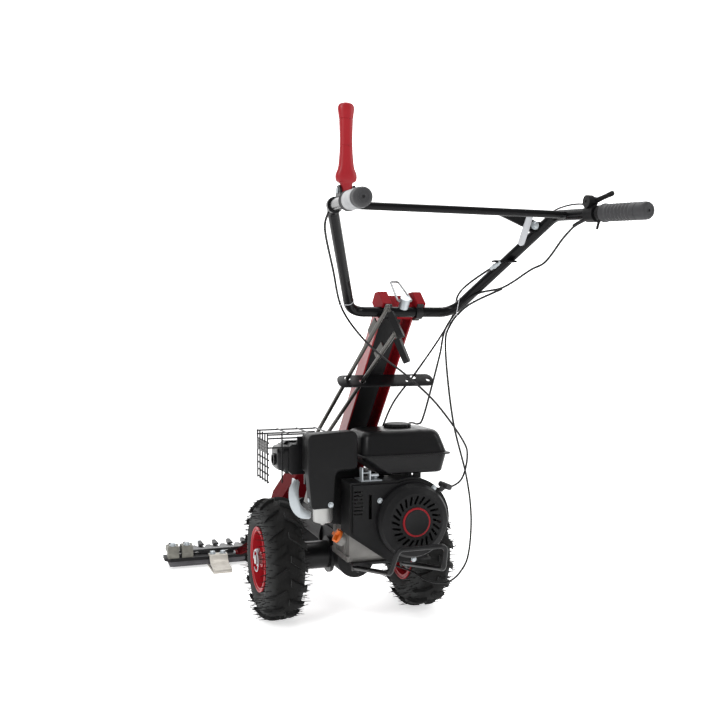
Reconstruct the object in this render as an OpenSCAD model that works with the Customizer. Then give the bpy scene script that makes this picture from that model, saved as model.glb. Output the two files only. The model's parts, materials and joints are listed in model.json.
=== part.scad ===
// Two-wheel sickle bar mower: engine behind the axle, cutter bar in front, long tube handlebar.
// +X is the machine's right, +Y is forwards, +Z is up, and the ground is z = 0.

/* [Wheels] */
// Outer diameter of the tyres over their lugs
tyre_d = 330; // [320:2:350]
// Width of a tyre
tyre_w = 108; // [100:2:112]
// Height of a lug above the carcass
lug_h = 10; // [6:1:12]
// Lugs along each shoulder of a tyre
lug_n = 16; // [12:1:18]
// Diameter of the rim flanges
rim_d = 178; // [170:2:186]
// Distance between the wheels' middle planes
track = 416; // [410:2:440]
// Diameter of the half axles
axle_d = 25; // [22:1:28]
// Outer diameter of the axle tubes
axle_tube_d = 76; // [70:2:80]
// Running clearance on the radius of shafts and pins
run_clear = 0.05; // [0.03:0.01:0.08]

/* [Engine] */
// Crankshaft axis to the right of the machine's middle plane
crank_x = 55; // [50:1:60]
// Crankshaft axis above the wheel axle
crank_up = 157; // [154:1:162]
// Rear face of the recoil starter behind the wheel axle
engine_back = 378; // [374:1:384]
// Diameter of the crankshaft
crank_d = 25; // [22:1:28]
// Radius of the fan shroud round the flywheel
shroud_r = 104; // [102:1:108]
// Radius of the recoil cover
recoil_r = 92; // [88:1:94]
// Slots round the recoil cover
slot_n = 24; // [16:1:28]
// Radius of the red ring on the recoil cover
ring_r = 36; // [32:1:38]
// Width of the fuel tank at its seam
tank_w = 232; // [224:2:240]
// Depth of the fuel tank at its seam
tank_l = 170; // [160:2:174]
// Diameter of the fuel cap
fuel_cap_d = 66; // [56:2:70]
// Wire diameter of the muffler guard
guard_wire = 4; // [3:0.5:5]

/* [Mast] */
// Lean of the mast from the vertical, in degrees
mast_lean = 41.3; // [40:0.1:43]
// Width of the mast
mast_w = 86; // [80:2:92]
// Depth of the mast's channel
mast_depth = 44; // [38:2:48]
// Sheet thickness of the mast
mast_t = 4; // [3:0.5:5]
// Length of the mast along its rear face
mast_len = 655; // [640:5:670]
// Length of the guide plate across the mast
guide_w = 256; // [250:2:264]
// Diameter of the shift rods
rod_d = 10; // [8:0.5:11]

/* [Handlebar] */
// Outer diameter of the handlebar tube
bar_d = 24; // [22:0.5:26]
// Wall of the handlebar tube
bar_wall = 2; // [1.5:0.5:3]
// Half width of the handlebar at its lower bends
bar_low_half = 129; // [124:1:134]
// Half width of the handlebar at its upper bends
bar_top_half = 253; // [245:1:260]
// Half width of the handlebar at the ends of the grips
bar_end_half = 285; // [278:1:292]
// Rise of the upper bends above the clamp
bar_rise = 206; // [196:2:216]
// Reach of the upper bends behind the clamp
bar_reach = 261; // [250:1:270]
// Reach of the grip ends behind the upper bends
grip_reach = 281; // [275:1:290]
// Drop of the grip ends below the upper bends
grip_drop = 21; // [10:1:30]
// Radius of the tube's bends
bend_r = 48; // [40:2:56]
// Diameter of the crossbar
cross_d = 16; // [14:1:18]
// Length of a grip
grip_len = 122; // [110:2:130]
// Diameter of a grip
grip_d = 35; // [32:1:37]
// Length of the red clutch lever
lever_len = 172; // [160:2:180]

/* [Cutter bar] */
// Width of the cutter bar
cut_w = 870; // [860:10:900]
// Spacing of the guard fingers, and of the knife sections
finger_pitch = 50; // [48:0.5:51]
// Guard fingers on the cutter bar
finger_n = 17; // [17:1:17]
// Rear edge of the cutter beam ahead of the wheel axle
beam_front = 580; // [570:2:590]
// Depth of the cutter beam
beam_l = 70; // [68:1:72]
// Height of the cutter beam's underside
beam_z = 28; // [26:1:30]
// Thickness of the cutter beam
beam_t = 10; // [8:1:12]
// Thickness of a knife section
section_t = 3; // [2:0.5:3.5]
// Running gap under the knife
knife_gap = 0.4; // [0.35:0.05:0.6]
// Swing lever from its shaft to the knife pin
swing_len = 127; // [124:1:130]
// Thickness of the skid shoes
skid_t = 5; // [4:0.5:6]
// Width of a skid shoe
skid_w = 84; // [70:2:90]

/* [Stand and cables] */
// Diameter of the stand's rod
stand_d = 12; // [10:1:14]
// Diameter of the control cables
cable_d = 5; // [4.5:0.5:5.5]

/* [Hidden] */
$fn = 48;
eps = 0.01;
axle_z = tyre_d / 2;
crank_z = axle_z + crank_up;
wheel_x = track / 2;
grip_y = -(engine_back + 41 + bar_reach + grip_reach);
tip_y = beam_front + 168;
// The frame's origin lies under the middle of the machine's length
frame_y = -(grip_y + tip_y) / 2;

// Gearbox and drive neck
case_half = 52;
case_back = -78;
case_front = 72;
case_top = axle_z + 165;
bell_r = 84;
bell_front = -25;
engine_len = 250;
engine_front = engine_back - engine_len;
neck_d = 92;
neck_z = axle_z + 35;
head_back = 400;
knife_y = beam_front + 46;
pin_y = knife_y + 10;
swing_y = pin_y - swing_len;
ledger_z = beam_z + beam_t + 6;
section_z = ledger_z + knife_gap;
back_z = section_z + section_t;
back_t = 5;
swing_z = back_z + back_t + 14;
swing_t = 12;
head_z = swing_z + swing_t + 4;
stroke = finger_pitch / 2;

// Mast frame: its foot is the middle of the rear face at the foot plate
mast_foot = [0, 42, case_top + 6];
bar_at = [0, -17.5, mast_len + 23];
saddle_half = 54;
guide_s = 452;
guide_t = 4;

function turned(p) = [
  p[0],
  p[1] * cos(mast_lean) - p[2] * sin(mast_lean),
  p[1] * sin(mast_lean) + p[2] * cos(mast_lean)
];
// A point given in the mast's frame, in the machine's frame
function mast_point(p) = mast_foot + turned(p);

bar_axis = mast_point(bar_at);
bar_bend = bar_axis + [bar_top_half, -bar_reach, bar_rise];
bar_end = bar_axis + [bar_end_half, -bar_reach - grip_reach, bar_rise - grip_drop];
grip_dir = unit(bar_end - bar_bend);
leg_len = norm(bar_end - bar_bend);

// Shift rods: upper end, lower end and the end of the grip
rod_top = [mast_point([-53, -44, mast_len + 61]), mast_point([-22, -59, mast_len - 7])];
rod_low = [mast_point([-129, 32, 110]), mast_point([-98, 41, 110])];
grip_hang = [[23, -15, -59], [19, -15, -56]];

// Stand: pivot and corner heights
stand_y = -130;
stand_z = axle_z - 10;
stand_x = [crank_x - 78, crank_x + 62];
stand_corner = [-272, 53];
stand_rise = 60;

// Cable routes, from the handlebar end to the machine end
clutch_points = [
  [-267, -700, 1023.7], [-262, -660, 994], [-214, -560, 920], [-158, -442, 844], [-122, -468, 780],
  [-52, -436, 726], [14, -410, 684], [104, -380, 613], [187, -360, 517], [205, -350, 472],
  [196, -340, 420], [172, -318, 398], [152, -270, 392], [140, -180, 390], [124, -124, 394], [104, -92, 402]
];
wheel_points = [
  [176, -584, 884], [130, -504, 848], [94, -484, 802], [96, -455, 744], [141, -400, 572], [197, -360, 424],
  [225, -330, 314], [232, -300, 210], [223, -270, 157], [205, -240, 126], [180, -215, 118], [158, -186, 122],
  [142, -148, 132], [122, -96, 136], [92, -62, 140], [63, -38, 143]
];
throttle_points = [
  [250, -770, 1012], [262, -700, 990], [266, -620, 945], [250, -580, 928], [205, -535, 890],
  [151.5, -488, 870.9], [107, -440, 803], [101, -410, 731], [103, -360, 656], [105, -280, 564],
  [109, -200, 556], [107, -152, 520], [98, -146, 450], [90, -146, 402]
];
drive_points = [
  [162, -592, 940], [138, -500, 902], [142, -424, 874], [148, -386, 830], [122, -350, 764], [92, -272, 678],
  [66, -190, 600], [60, -110, 515], [62, -50, 456], [65, -4, 385], [64, 2, 330], [62, 0, 276.3]
];

// The points are drawn for the clamp at bar_home; what hangs from the handlebar moves with its clamp
bar_home = [0, -418.63, 833.81];
hang_low = 560;
hang_high = 790;
function hung(p) = [
  for (q = p)
    q + (bar_axis - bar_home) * min(1, max(0, (q[2] - hang_low) / (hang_high - hang_low)))
];
clutch_route = hung(clutch_points);
wheel_route = hung(wheel_points);
throttle_route = hung(throttle_points);
drive_route = hung(drive_points);

// Vectors, turned frames and outlines
function unit(v) = v / norm(v);
function flip(p) = [-p[0], p[1], p[2]];

// Frame at p with its Z along v
module aim(p, v) {
  w = unit(v);
  translate(p)
    rotate([0, acos(w[2]), atan2(w[1], w[0])])
      children();
}

module rod(p, q, d) {
  aim(p, q - p)
    cylinder(d = d, h = norm(q - p));
}

module ring2d(d, wall) {
  difference() {
    circle(d = d);
    if (wall > 0) circle(d = d - 2 * wall);
  }
}

// Quarter-round bend at corner p between the directions a and b, which both lead away from it
module bend(p, a, b, r, d, wall) {
  half = acos(a * b) / 2;
  reach = r / tan(half);
  middle = p + unit(a + b) * (r / sin(half));
  ex = unit(p + a * reach - middle);
  ez = unit(cross(ex, p + b * reach - middle));
  ey = cross(ez, ex);
  multmatrix([
    [ex[0], ey[0], ez[0], middle[0]],
    [ex[1], ey[1], ez[1], middle[1]],
    [ex[2], ey[2], ez[2], middle[2]],
    [0, 0, 0, 1]
  ])
    rotate_extrude(angle = 180 - 2 * half)
      translate([r, 0])
        ring2d(d, wall);
}

// How far a bend of radius r eats into its two legs
function bend_reach(p, i, r) = (i == 0 || i == len(p) - 1) ? 0 :
  r / tan(acos(unit(p[i - 1] - p[i]) * unit(p[i + 1] - p[i])) / 2);

// Tube through the corners p with round bends of radius r, and a thin seam where a bend begins
seam = 1.6;
module bent_tube(p, r, d, wall = 0) {
  for (i = [0 : len(p) - 2]) {
    v = unit(p[i + 1] - p[i]);
    start = p[i] + v * bend_reach(p, i, r);
    stop = p[i + 1] - v * bend_reach(p, i + 1, r);
    aim(start, v)
      linear_extrude(norm(stop - start))
        ring2d(d, wall);
  }
  for (i = [1 : len(p) - 2]) {
    bend(p[i], unit(p[i - 1] - p[i]), unit(p[i + 1] - p[i]), r, d, wall);
    for (q = [p[i - 1], p[i + 1]])
      aim(p[i] + unit(q - p[i]) * bend_reach(p, i, r), q - p[i])
        translate([0, 0, -seam / 2])
          cylinder(d = d + seam / 4, h = seam);
  }
}

// Outline of a sheet of thickness t whose right-hand face follows the points p
function left_of(v) = [-v[1], v[0]];
function miter(p, i) =
  i == 0 ? left_of(unit(p[1] - p[0])) :
  i == len(p) - 1 ? left_of(unit(p[i] - p[i - 1])) :
  let (a = left_of(unit(p[i] - p[i - 1])), b = left_of(unit(p[i + 1] - p[i]))) (a + b) / (1 + a * b);
module sheet2d(p, t) {
  n = len(p);
  polygon(concat(p, [for (i = [0 : n - 1]) let (k = n - 1 - i) p[k] + t * miter(p, k)]));
}

// Upright outline in X and Z, extruded forwards from y0 to y1
module upright(y0, y1) {
  translate([0, y1, 0])
    rotate([90, 0, 0])
      linear_extrude(y1 - y0)
        children();
}

// Side outline in Y and Z, extruded along X over the width w about x0
module side(w, x0 = 0) {
  translate([x0 - w / 2, 0, 0])
    rotate([90, 0, 90])
      linear_extrude(w)
        children();
}

// Box from its lowest to its highest corner
module block(a, b) {
  translate(a)
    cube(b - a);
}

// Turned shape about an axis along +Y through the crankshaft; the outline is radius and distance forwards
module turned_y() {
  rotate([-90, 0, 0])
    rotate_extrude()
      children();
}

module engine() {
  translate([crank_x, -engine_back, crank_z])
    children();
}

module on_mast() {
  translate(mast_foot)
    rotate([mast_lean, 0, 0])
      children();
}

// Smooth route through the chosen points, with two points for each stretch
function soft(p, i, t) =
  let (a = p[max(i - 1, 0)], b = p[i], c = p[i + 1], d = p[min(i + 2, len(p) - 1)])
  0.5 * (2 * b + (c - a) * t + (2 * a - 5 * b + 4 * c - d) * t * t + (3 * b - a - 3 * c + d) * t * t * t);
function route(p) = concat([for (i = [0 : len(p) - 2]) for (t = [0, 0.5]) soft(p, i, t)], [p[len(p) - 1]]);
function heading(p, i) = unit(p[min(i + 1, len(p) - 1)] - p[max(i - 1, 0)]);
function carried(p, i, n) = i == len(p) ? [] :
  let (t = heading(p, i), m = unit(n - (n * t) * t)) concat([m], carried(p, i + 1, m));

// Cable of diameter d swept along the chosen points
module cable(points, d, sides = 8) {
  p = route(points);
  n = carried(p, 0, [0.31, 0.52, 0.79]);
  rings = [
    for (i = [0 : len(p) - 1])
      let (v = cross(heading(p, i), n[i]))
        for (k = [0 : sides - 1])
          p[i] + d / 2 * (cos(360 * k / sides) * n[i] + sin(360 * k / sides) * v)
  ];
  last = (len(p) - 1) * sides;
  walls = [
    for (i = [0 : len(p) - 2])
      for (k = [0 : sides - 1])
        let (a = i * sides + k, b = i * sides + (k + 1) % sides)
          each [[a, a + sides, b], [b, a + sides, b + sides]]
  ];
  caps = [
    for (k = [1 : sides - 2])
      each [[0, k, k + 1], [last, last + k + 1, last + k]]
  ];
  polyhedron(rings, concat(walls, caps));
}

// Gearbox, axle tubes and wheels
module axle_bore(d) {
  translate([0, 0, axle_z])
    rotate([0, 90, 0])
      cylinder(d = d, h = 2 * wheel_x + tyre_w, center = true);
}

module gearbox() {
  color("#1c1c1e")
    difference() {
      union() {
        upright(case_back, case_front) {
          translate([0, axle_z]) circle(r = case_half);
          translate([-case_half, axle_z]) square([2 * case_half, case_top - axle_z]);
        }
        upright(-engine_front, bell_front)
          translate([crank_x, crank_z]) circle(r = bell_r);
        for (z = [axle_z + 70, axle_z + 125])
          block([-case_half - 4, case_back + 8, z], [case_half + 4, case_front - 8, z + 8]);
        block([case_half, -9, axle_z + 97], [case_half + 18, 9, axle_z + 111]);
      }
      axle_bore(axle_d + 2 * run_clear);
      translate([crank_x, -engine_front - eps, crank_z])
        rotate([-90, 0, 0])
          cylinder(d = crank_d + 2 * run_clear, h = 90);
    }
}

tube_in = case_half;
tube_out = wheel_x - tyre_w / 2 - 12;

module axle_tubes() {
  color("#161618")
    for (s = [0, 1])
      mirror([s, 0, 0])
        translate([tube_in, 0, axle_z])
          rotate([0, 90, 0])
            difference() {
              union() {
                cylinder(d = axle_tube_d, h = tube_out - tube_in);
                cylinder(d = axle_tube_d + 24, h = 9);
                translate([0, 0, tube_out - tube_in - 8]) cylinder(d = axle_tube_d + 6, h = 8);
              }
              translate([0, 0, -eps]) cylinder(d = axle_d + 2 * run_clear, h = tube_out);
            }
}

axle_end = wheel_x + tyre_w / 2 + 2;
lynch_x = axle_end - 8;

module half_axle() {
  difference() {
    union() {
      translate([case_half - 40, 0, axle_z]) rotate([0, 90, 0]) cylinder(d = axle_d, h = axle_end - case_half + 40);
      translate([tube_out + 1, 0, axle_z]) rotate([0, 90, 0]) cylinder(d = axle_d + 15, h = 8);
    }
    translate([lynch_x, 0, axle_z - axle_d]) cylinder(d = 8, h = 2 * axle_d);
  }
}

// The lynch pin's shank passes the axle end, and its sprung ring lies round the hub
module lynch_pin() {
  translate([lynch_x, 0, axle_z]) {
    translate([0, 0, -axle_d / 2 - 6]) cylinder(d = 7.6, h = axle_d + 14);
    translate([0, 0, axle_d / 2 + 8]) cylinder(d = 13, h = 9);
    translate([5, 0, -3])
      rotate([90, 0, 90])
        rotate_extrude(angle = 310)
          translate([28, 0])
            circle(d = 4.6);
  }
}

module left_lynch_pin() { color("#c9ccd0") mirror([1, 0, 0]) lynch_pin(); }
module right_lynch_pin() { color("#c9ccd0") lynch_pin(); }

bead_r = rim_d / 2 - 9;
rim_half = tyre_w / 2 - 7;
web_x = rim_half - 26;

module rim_outline() {
  hub = axle_d / 2 + 0.1;
  translate([bead_r - 4, -rim_half]) square([4, 2 * rim_half]);
  for (s = [0, 1])
    mirror([0, s])
      translate([0, rim_half - 4]) {
        translate([bead_r - 4, 0]) square([rim_d / 2 - bead_r + 1, 4]);
        translate([rim_d / 2 - 3, 4]) circle(r = 3);
      }
  translate([hub, web_x - 5]) square([bead_r - 4 - hub, 5]);
  translate([hub, -rim_half + 8]) square([9, 2 * rim_half - 16]);
}

module rim() {
  translate([wheel_x, 0, axle_z])
    rotate([0, 90, 0])
      difference() {
        rotate_extrude() rim_outline();
        for (a = [45 : 90 : 315])
          rotate(a)
            translate([bead_r * 0.62, 0, web_x - 20])
              cylinder(d = 22, h = 40);
      }
}

module left_rim() { color("#b3141c") mirror([1, 0, 0]) rim(); }
module right_rim() { color("#b3141c") rim(); }

module bolts_on_rim() {
  for (a = [0 : 90 : 270])
    translate([wheel_x + web_x, 0, axle_z])
      rotate([0, 90, 0])
        rotate(a)
          translate([bead_r * 0.62, 0, 0]) {
            cylinder(d = 15, h = 6, $fn = 6);
            cylinder(d = 19, h = 1.6);
          }
}

module driven_axle() {
  half_axle();
  bolts_on_rim();
}

module left_half_axle() { color("#8d8f92") mirror([1, 0, 0]) driven_axle(); }
module right_half_axle() { color("#8d8f92") driven_axle(); }

// Tyre section: radius across, width up
carcass_r = tyre_d / 2 - lug_h;
round_r = (carcass_r - bead_r) * 0.48;

module tyre_outline(grow) {
  r = round_r + grow;
  for (s = [-1, 1])
    translate([carcass_r - round_r, s * (tyre_w / 2 - round_r - lug_h * 0.2)]) circle(r = r);
  translate([carcass_r - round_r, -(tyre_w / 2 - round_r - lug_h * 0.2)])
    square([r, 2 * (tyre_w / 2 - round_r - lug_h * 0.2)]);
}

module tyre_section() {
  difference() {
    union() {
      tyre_outline(0);
      for (s = [0, 1])
        mirror([0, s])
          translate([bead_r, rim_half - 18]) square([carcass_r - round_r - bead_r, 14]);
    }
    translate([bead_r - 1, -(rim_half - 18)]) square([carcass_r - bead_r - 11, 2 * (rim_half - 18)]);
    for (s = [-1, 1])
      translate([carcass_r - round_r, s * (tyre_w / 2 - round_r - lug_h * 0.2)]) circle(r = round_r - 12);
  }
}

// Chevron lugs: bars that slant from the middle of the tread to each shoulder
module lugs() {
  intersection() {
    rotate_extrude()
      difference() {
        tyre_outline(lug_h);
        translate([0, -tyre_w]) square([carcass_r - 14, 2 * tyre_w]);
      }
    union()
      for (s = [0, 1])
        mirror([0, 0, s])
          for (i = [0 : lug_n - 1])
            rotate(360 * (i + 0.5 * s) / lug_n)
              rotate([0, 90, 0])
                translate([0, 0, carcass_r - 13])
                  linear_extrude(lug_h + 20)
                    polygon([
                      [-5, -11], [-5, 7], [-tyre_w / 2 - 2, 40], [-tyre_w / 2 - 2, 21]
                    ]);
  }
}

module tyre() {
  translate([wheel_x, 0, axle_z])
    rotate([0, 90, 0]) {
      rotate_extrude() tyre_section();
      lugs();
    }
}

module left_tyre() { color("#1a1a1a") mirror([1, 0, 0]) tyre(); }
module right_tyre() { color("#1a1a1a") tyre(); }

// Engine: every piece is placed from the crankshaft axis and the rear face of the recoil starter
case_left = -136;
case_right = 78;
base_z = -116;
deck_z = 76;
shroud_back = 33;
crankcase_back = engine_len - 137;
tank_back = 43;
tank_low = 110;
tank_seam = 160;
tank_top = 218;
cyl_tilt = 15;
cyl_y = engine_len - 55;
cyl_half = 45;

module engine_cradle() {
  color("#1c1c1e")
    difference() {
      union() {
        block(
          [crank_x + case_left + 6, -engine_front - 150, crank_z + base_z - 6],
          [crank_x + case_right + 4, case_back, crank_z + base_z]
        );
        for (x = stand_x)
          side(8, x + 12)
            polygon([
              [stand_y - 26, crank_z + base_z - 5], [stand_y + 26, crank_z + base_z - 5],
              [stand_y + 13, stand_z - 13], [stand_y - 13, stand_z - 13]
            ]);
      }
      stand_axis(stand_d * 0.8 + 2 * run_clear);
    }
}

module stand_axis(d) {
  translate([stand_x[0] - 40, stand_y, stand_z])
    rotate([0, 90, 0])
      cylinder(d = d, h = stand_x[1] - stand_x[0] + 80);
}

// Bent rod loop: two legs under the engine, a foot bar behind it, and two pivot stubs
module stand() {
  corner = [0, stand_y + stand_corner[0], stand_z + stand_corner[1]];
  foot = corner + [0, -14, stand_rise];
  color("#17171a") {
    bent_tube([
      [stand_x[0], stand_y, stand_z], [stand_x[0], corner[1], corner[2]], [stand_x[0] + 16, foot[1], foot[2]],
      [stand_x[1], foot[1], foot[2]], [stand_x[1], corner[1], corner[2]], [stand_x[1], stand_y, stand_z]
    ], 15, stand_d);
    for (x = stand_x) {
      translate([x - stand_d / 2, stand_y, stand_z]) rotate([0, 90, 0]) cylinder(d = stand_d + 5, h = stand_d);
      translate([x, stand_y, stand_z]) rotate([0, 90, 0]) cylinder(d = stand_d * 0.8, h = 22);
    }
  }
}

module crankcase() {
  color("#8f8a84")
    engine()
      difference() {
        union() {
          upright(crankcase_back, engine_len)
            polygon([
              [case_left, base_z + 12], [case_left, 2], [case_left + 40, deck_z], [case_right - 24, deck_z],
              [case_right, deck_z - 30], [case_right, base_z + 12]
            ]);
          block([case_left - 4, crankcase_back + 4, base_z], [case_right + 4, engine_len - 4, base_z + 14]);
          for (y = [crankcase_back + 30, engine_len - 30])
            block([case_left - 5, y - 5, base_z + 10], [case_left + 6, y + 5, -20]);
          translate([case_left, oil_y, oil_z])
            rotate([0, -60, 0])
              cylinder(d = 40, h = 16);
        }
        translate([0, crankcase_back - 1, 0])
          rotate([-90, 0, 0])
            cylinder(d = crank_d + 2 * run_clear, h = engine_len);
        block([case_left - 60, crankcase_back, base_z - 40], [case_right + 60, engine_len, base_z]);
        translate([case_left, oil_y, oil_z])
          rotate([0, -60, 0])
            translate([0, 0, 4])
              cylinder(d = 24 + 2 * run_clear, h = 40);
        cylinder_block(0);
      }
}

oil_y = 154;
oil_z = -65;

module oil_cap() {
  color("#e07018")
    engine()
      translate([case_left, oil_y, oil_z])
        rotate([0, -60, 0]) {
          translate([0, 0, 4.4]) cylinder(d = 24, h = 12);
          translate([0, 0, 16.4]) cylinder(d = 36, h = 5);
          for (a = [90 : 120 : 330])
            rotate(a)
              translate([0, -4, 21.4])
                cube([17, 8, 9]);
        }
}

// Cylinder frame: Z runs up the bore, away from the crankshaft
module cylinder_frame() {
  translate([0, cyl_y, 0])
    rotate([0, cyl_tilt - 90, 0])
      children();
}

module cylinder_block(grow) {
  cylinder_frame()
    translate([-cyl_half - grow, -cyl_half - grow, 60])
      cube([2 * (cyl_half + grow), 2 * (cyl_half + grow), 160]);
}

module engine_cylinder() {
  color("#a5a6a4")
    engine()
      cylinder_frame() {
        translate([0, 0, 60]) cylinder(d = 74, h = 110);
        for (i = [0 : 8])
          translate([-cyl_half, -cyl_half, 78 + 10 * i]) cube([2 * cyl_half, 2 * cyl_half, 3.2]);
        translate([-cyl_half, -cyl_half, 168]) cube([2 * cyl_half, 2 * cyl_half, 26]);
        translate([-cyl_half + 10, -cyl_half + 8, 194]) cube([2 * cyl_half - 22, 2 * cyl_half - 16, 26]);
        translate([cyl_half - 6, 0, 190]) cylinder(d = 10, h = 22);
      }
}

// Outline of the fan shroud seen from behind: round at the flywheel, wide over the cylinder
module shroud_outline(inset) {
  circle(r = shroud_r - inset);
  polygon([
    [-158 + inset, 98 - inset], [0, 98 - inset], [0, -shroud_r + inset], [-55 + inset * 0.6, -shroud_r + inset],
    [-158 + inset, -32 + inset]
  ]);
}

module fan_shroud() {
  color("#1f2022")
    engine()
      difference() {
        union() {
          upright(shroud_back + 6, crankcase_back) shroud_outline(0);
          upright(shroud_back, shroud_back + 6 + eps) shroud_outline(6);
        }
        upright(shroud_back + 3, crankcase_back + 1) shroud_outline(9);
        turned_y() translate([0, 0]) square([recoil_r - 6, shroud_back + 10]);
        starter_line(rope_d + 2, shroud_r - 20, shroud_r + 5);
        block([-112, shroud_back - 1, 8], [-104, shroud_back + 4, 68]);
        for (z = [20 : 9 : 74])
          block([-150, shroud_back - 1, z], [-128, shroud_back + 4, z + 4]);
      }
}

module recoil_cover() {
  color("#1b1c1e")
    engine()
      difference() {
        turned_y()
          difference() {
            polygon([
              [ring_r - 8, 0], [recoil_r - 22, 0], [recoil_r - 7, 7], [recoil_r, 20], [recoil_r, shroud_back],
              [recoil_r - 4, shroud_back], [recoil_r - 4, 21], [recoil_r - 10, 10], [recoil_r - 23, 4], [ring_r - 8, 4]
            ]);
            translate([0, -1]) square([ring_r + 0.2, 3]);
          }
        for (i = [0 : slot_n - 1])
          rotate([0, 360 * i / slot_n, 0])
            translate([ring_r + 18, 0, 0])
              rotate([0, 24, 0])
                block([-11, -1, -2.8], [11, 6, 2.8]);
      }
}

module recoil_ring() {
  color("#b3141c")
    engine()
      turned_y()
        polygon([[0, -1.5], [ring_r - 10, -1.5], [ring_r - 9, -3], [ring_r - 1, -3], [ring_r, -1.5], [ring_r, 2], [0, 2]]);
}

module crankshaft() {
  color("#9a9c9f")
    engine() {
      translate([0, shroud_back + 12, 0])
        rotate([-90, 0, 0])
          cylinder(d = crank_d, h = engine_len + 45 - shroud_back);
      translate([0, shroud_back + 12, 0])
        rotate([-90, 0, 0])
          cylinder(d = 36, h = 8, $fn = 6);
    }
}

module flywheel() {
  r = recoil_r - 10;
  color("#6f7174")
    engine()
      difference() {
        union() {
          turned_y() translate([0, shroud_back + 34]) square([r, 30]);
          turned_y() translate([0, shroud_back + 21]) square([30, 20]);
          for (a = [0 : 30 : 330])
            rotate([0, a, 0])
              block([36, shroud_back + 14, -2], [r - 4, shroud_back + 36, 2]);
        }
        translate([0, shroud_back, 0])
          rotate([-90, 0, 0])
            cylinder(d = crank_d + 0.1, h = 80);
      }
}

// Starter rope grip on the right of the fan shroud, with the rope that it draws out
rope_d = 4;
rope_y = shroud_back + 7;

module starter_line(d, low, high) {
  translate([0, rope_y, 0])
    rotate([0, 50, 0])
      translate([0, 0, low])
        cylinder(d = d, h = high - low);
}

module starter_grip() {
  color("#141414")
    engine() {
      starter_line(rope_d, 8, shroud_r + 6);
      starter_line(13, shroud_r + 1, shroud_r + 14);
      translate([0, rope_y, 0])
        rotate([0, 50, 0])
          translate([0, 26, shroud_r + 18])
            rotate([90, 0, 0])
              cylinder(d = 15, h = 52);
    }
}

module tank_slab(x0, x1, y0, y1, z, r) {
  translate([0, 0, z])
    linear_extrude(1)
      for (x = [x0 + r, x1 - r])
        for (y = [y0 + r, y1 - r])
          translate([x, y]) circle(r = r, $fn = 32);
}

module fuel_tank() {
  left = -tank_w * 0.55;
  right = left + tank_w;
  front = tank_back + tank_l;
  color("#1d1d1f")
    engine()
      difference() {
        union() {
          hull() {
            tank_slab(left + 58, right - 16, tank_back + 14, front - 14, tank_low, 22);
            tank_slab(left + 7, right - 7, tank_back + 7, front - 7, tank_seam - 4, 22);
          }
          hull() {
            tank_slab(left, right, tank_back, front, tank_seam - 3, 16);
            tank_slab(left, right, tank_back, front, tank_seam, 16);
          }
          hull() {
            tank_slab(left + 7, right - 7, tank_back + 7, front - 7, tank_seam + 1, 22);
            tank_slab(left + 12, right - 22, tank_back + 18, front - 14, tank_top - 12, 22);
            tank_slab(left + 24, right - 34, tank_back + 30, front - 26, tank_top - 1, 18);
          }
          translate([fuel_x, fuel_y, tank_top - 8]) cylinder(d = fuel_cap_d - 16, h = 12);
        }
        translate([fuel_x, fuel_y, tank_top - 20]) cylinder(d = 34, h = 60);
      }
}

fuel_x = 7;
fuel_y = 150;

module fuel_cap() {
  color("#161617")
    engine()
      translate([fuel_x, fuel_y, tank_top + 4.3]) {
        cylinder(d = fuel_cap_d, h = 12);
        translate([0, 0, 12]) cylinder(d = fuel_cap_d - 12, h = 3);
        translate([0, 0, -14]) cylinder(d = 33.8, h = 14.2);
        for (a = [0 : 30 : 330])
          rotate(a)
            translate([fuel_cap_d / 2 - 1.5, -4, 0]) cube([3, 8, 11]);
      }
}

module tank_brackets() {
  color("#2a2a2c")
    engine()
      for (x = [-58, 44])
        difference() {
          block([x, crankcase_back + 14, deck_z], [x + 20, crankcase_back + 84, tank_low]);
          block([x - 1, crankcase_back + 20, deck_z + 5], [x + 21, crankcase_back + 78, tank_low - 5]);
        }
}

filter_back = crankcase_back - 47;
filter_front = cyl_y - 55;
filter_shift = 130 - tank_w * 0.55 - 2.4;
filter_foot = filter_front - 36;
filter_low = 39;

module air_filter() {
  color("#202123")
    engine()
      translate([filter_shift, 0, 0])
      difference() {
        union() {
          upright(filter_back + 5, filter_front)
            polygon([
              [-255, 116], [-255, 210], [-247, tank_top], [-138, tank_top], [-130, 210], [-130, 116], [-142, 104],
              [-239, 104]
            ]);
          upright(filter_back, filter_back + 5)
            polygon([[-250, 119], [-250, 206], [-243, 213], [-142, 213], [-135, 206], [-135, 119], [-145, 109], [-236, 109]]);
          upright(filter_back + 2, filter_foot)
            polygon([[-240, 106], [-160, 106], [-161, 60], [-164, filter_low], [-237, filter_low], [-240, 60]]);
        }
        upright(filter_back - 1, filter_back + 2)
          polygon([[-240, 126], [-240, 200], [-145, 200], [-145, 126]]);
      }
}

module carburettor() {
  color("#b9bab7")
    engine()
      difference() {
        union() {
          block([-226, filter_foot, filter_low], [-184, cyl_y - cyl_half, filter_low + 34]);
          translate([-205, filter_foot + 10, filter_low - 30]) cylinder(d = 48, h = 30);
          translate([-205, filter_foot + 10, filter_low - 36]) cylinder(d1 = 30, d2 = 48, h = 6);
          translate([-205, filter_foot + 10, filter_low - 42]) cylinder(d = 11, h = 7, $fn = 6);
          translate([-232, filter_foot + 22, filter_low + 20]) rotate([0, 90, 0]) cylinder(d = 14, h = 8);
        }
        block([-300, filter_foot - 1, filter_low - eps], [-100, filter_foot + 0.2, filter_low + 60]);
      }
}

module cylinder_baffle() {
  color("#d5dde0")
    engine()
      upright(cyl_y - 17, cyl_y + 49)
        sheet2d([[case_left - 6.8, -62], [-205, -36], [-242, -24], [-264, 0], [-274, 32], [-274, 78]], -2.5);
}

muffler_back = cyl_y - 45;
muffler_front = cyl_y + 51;

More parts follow.
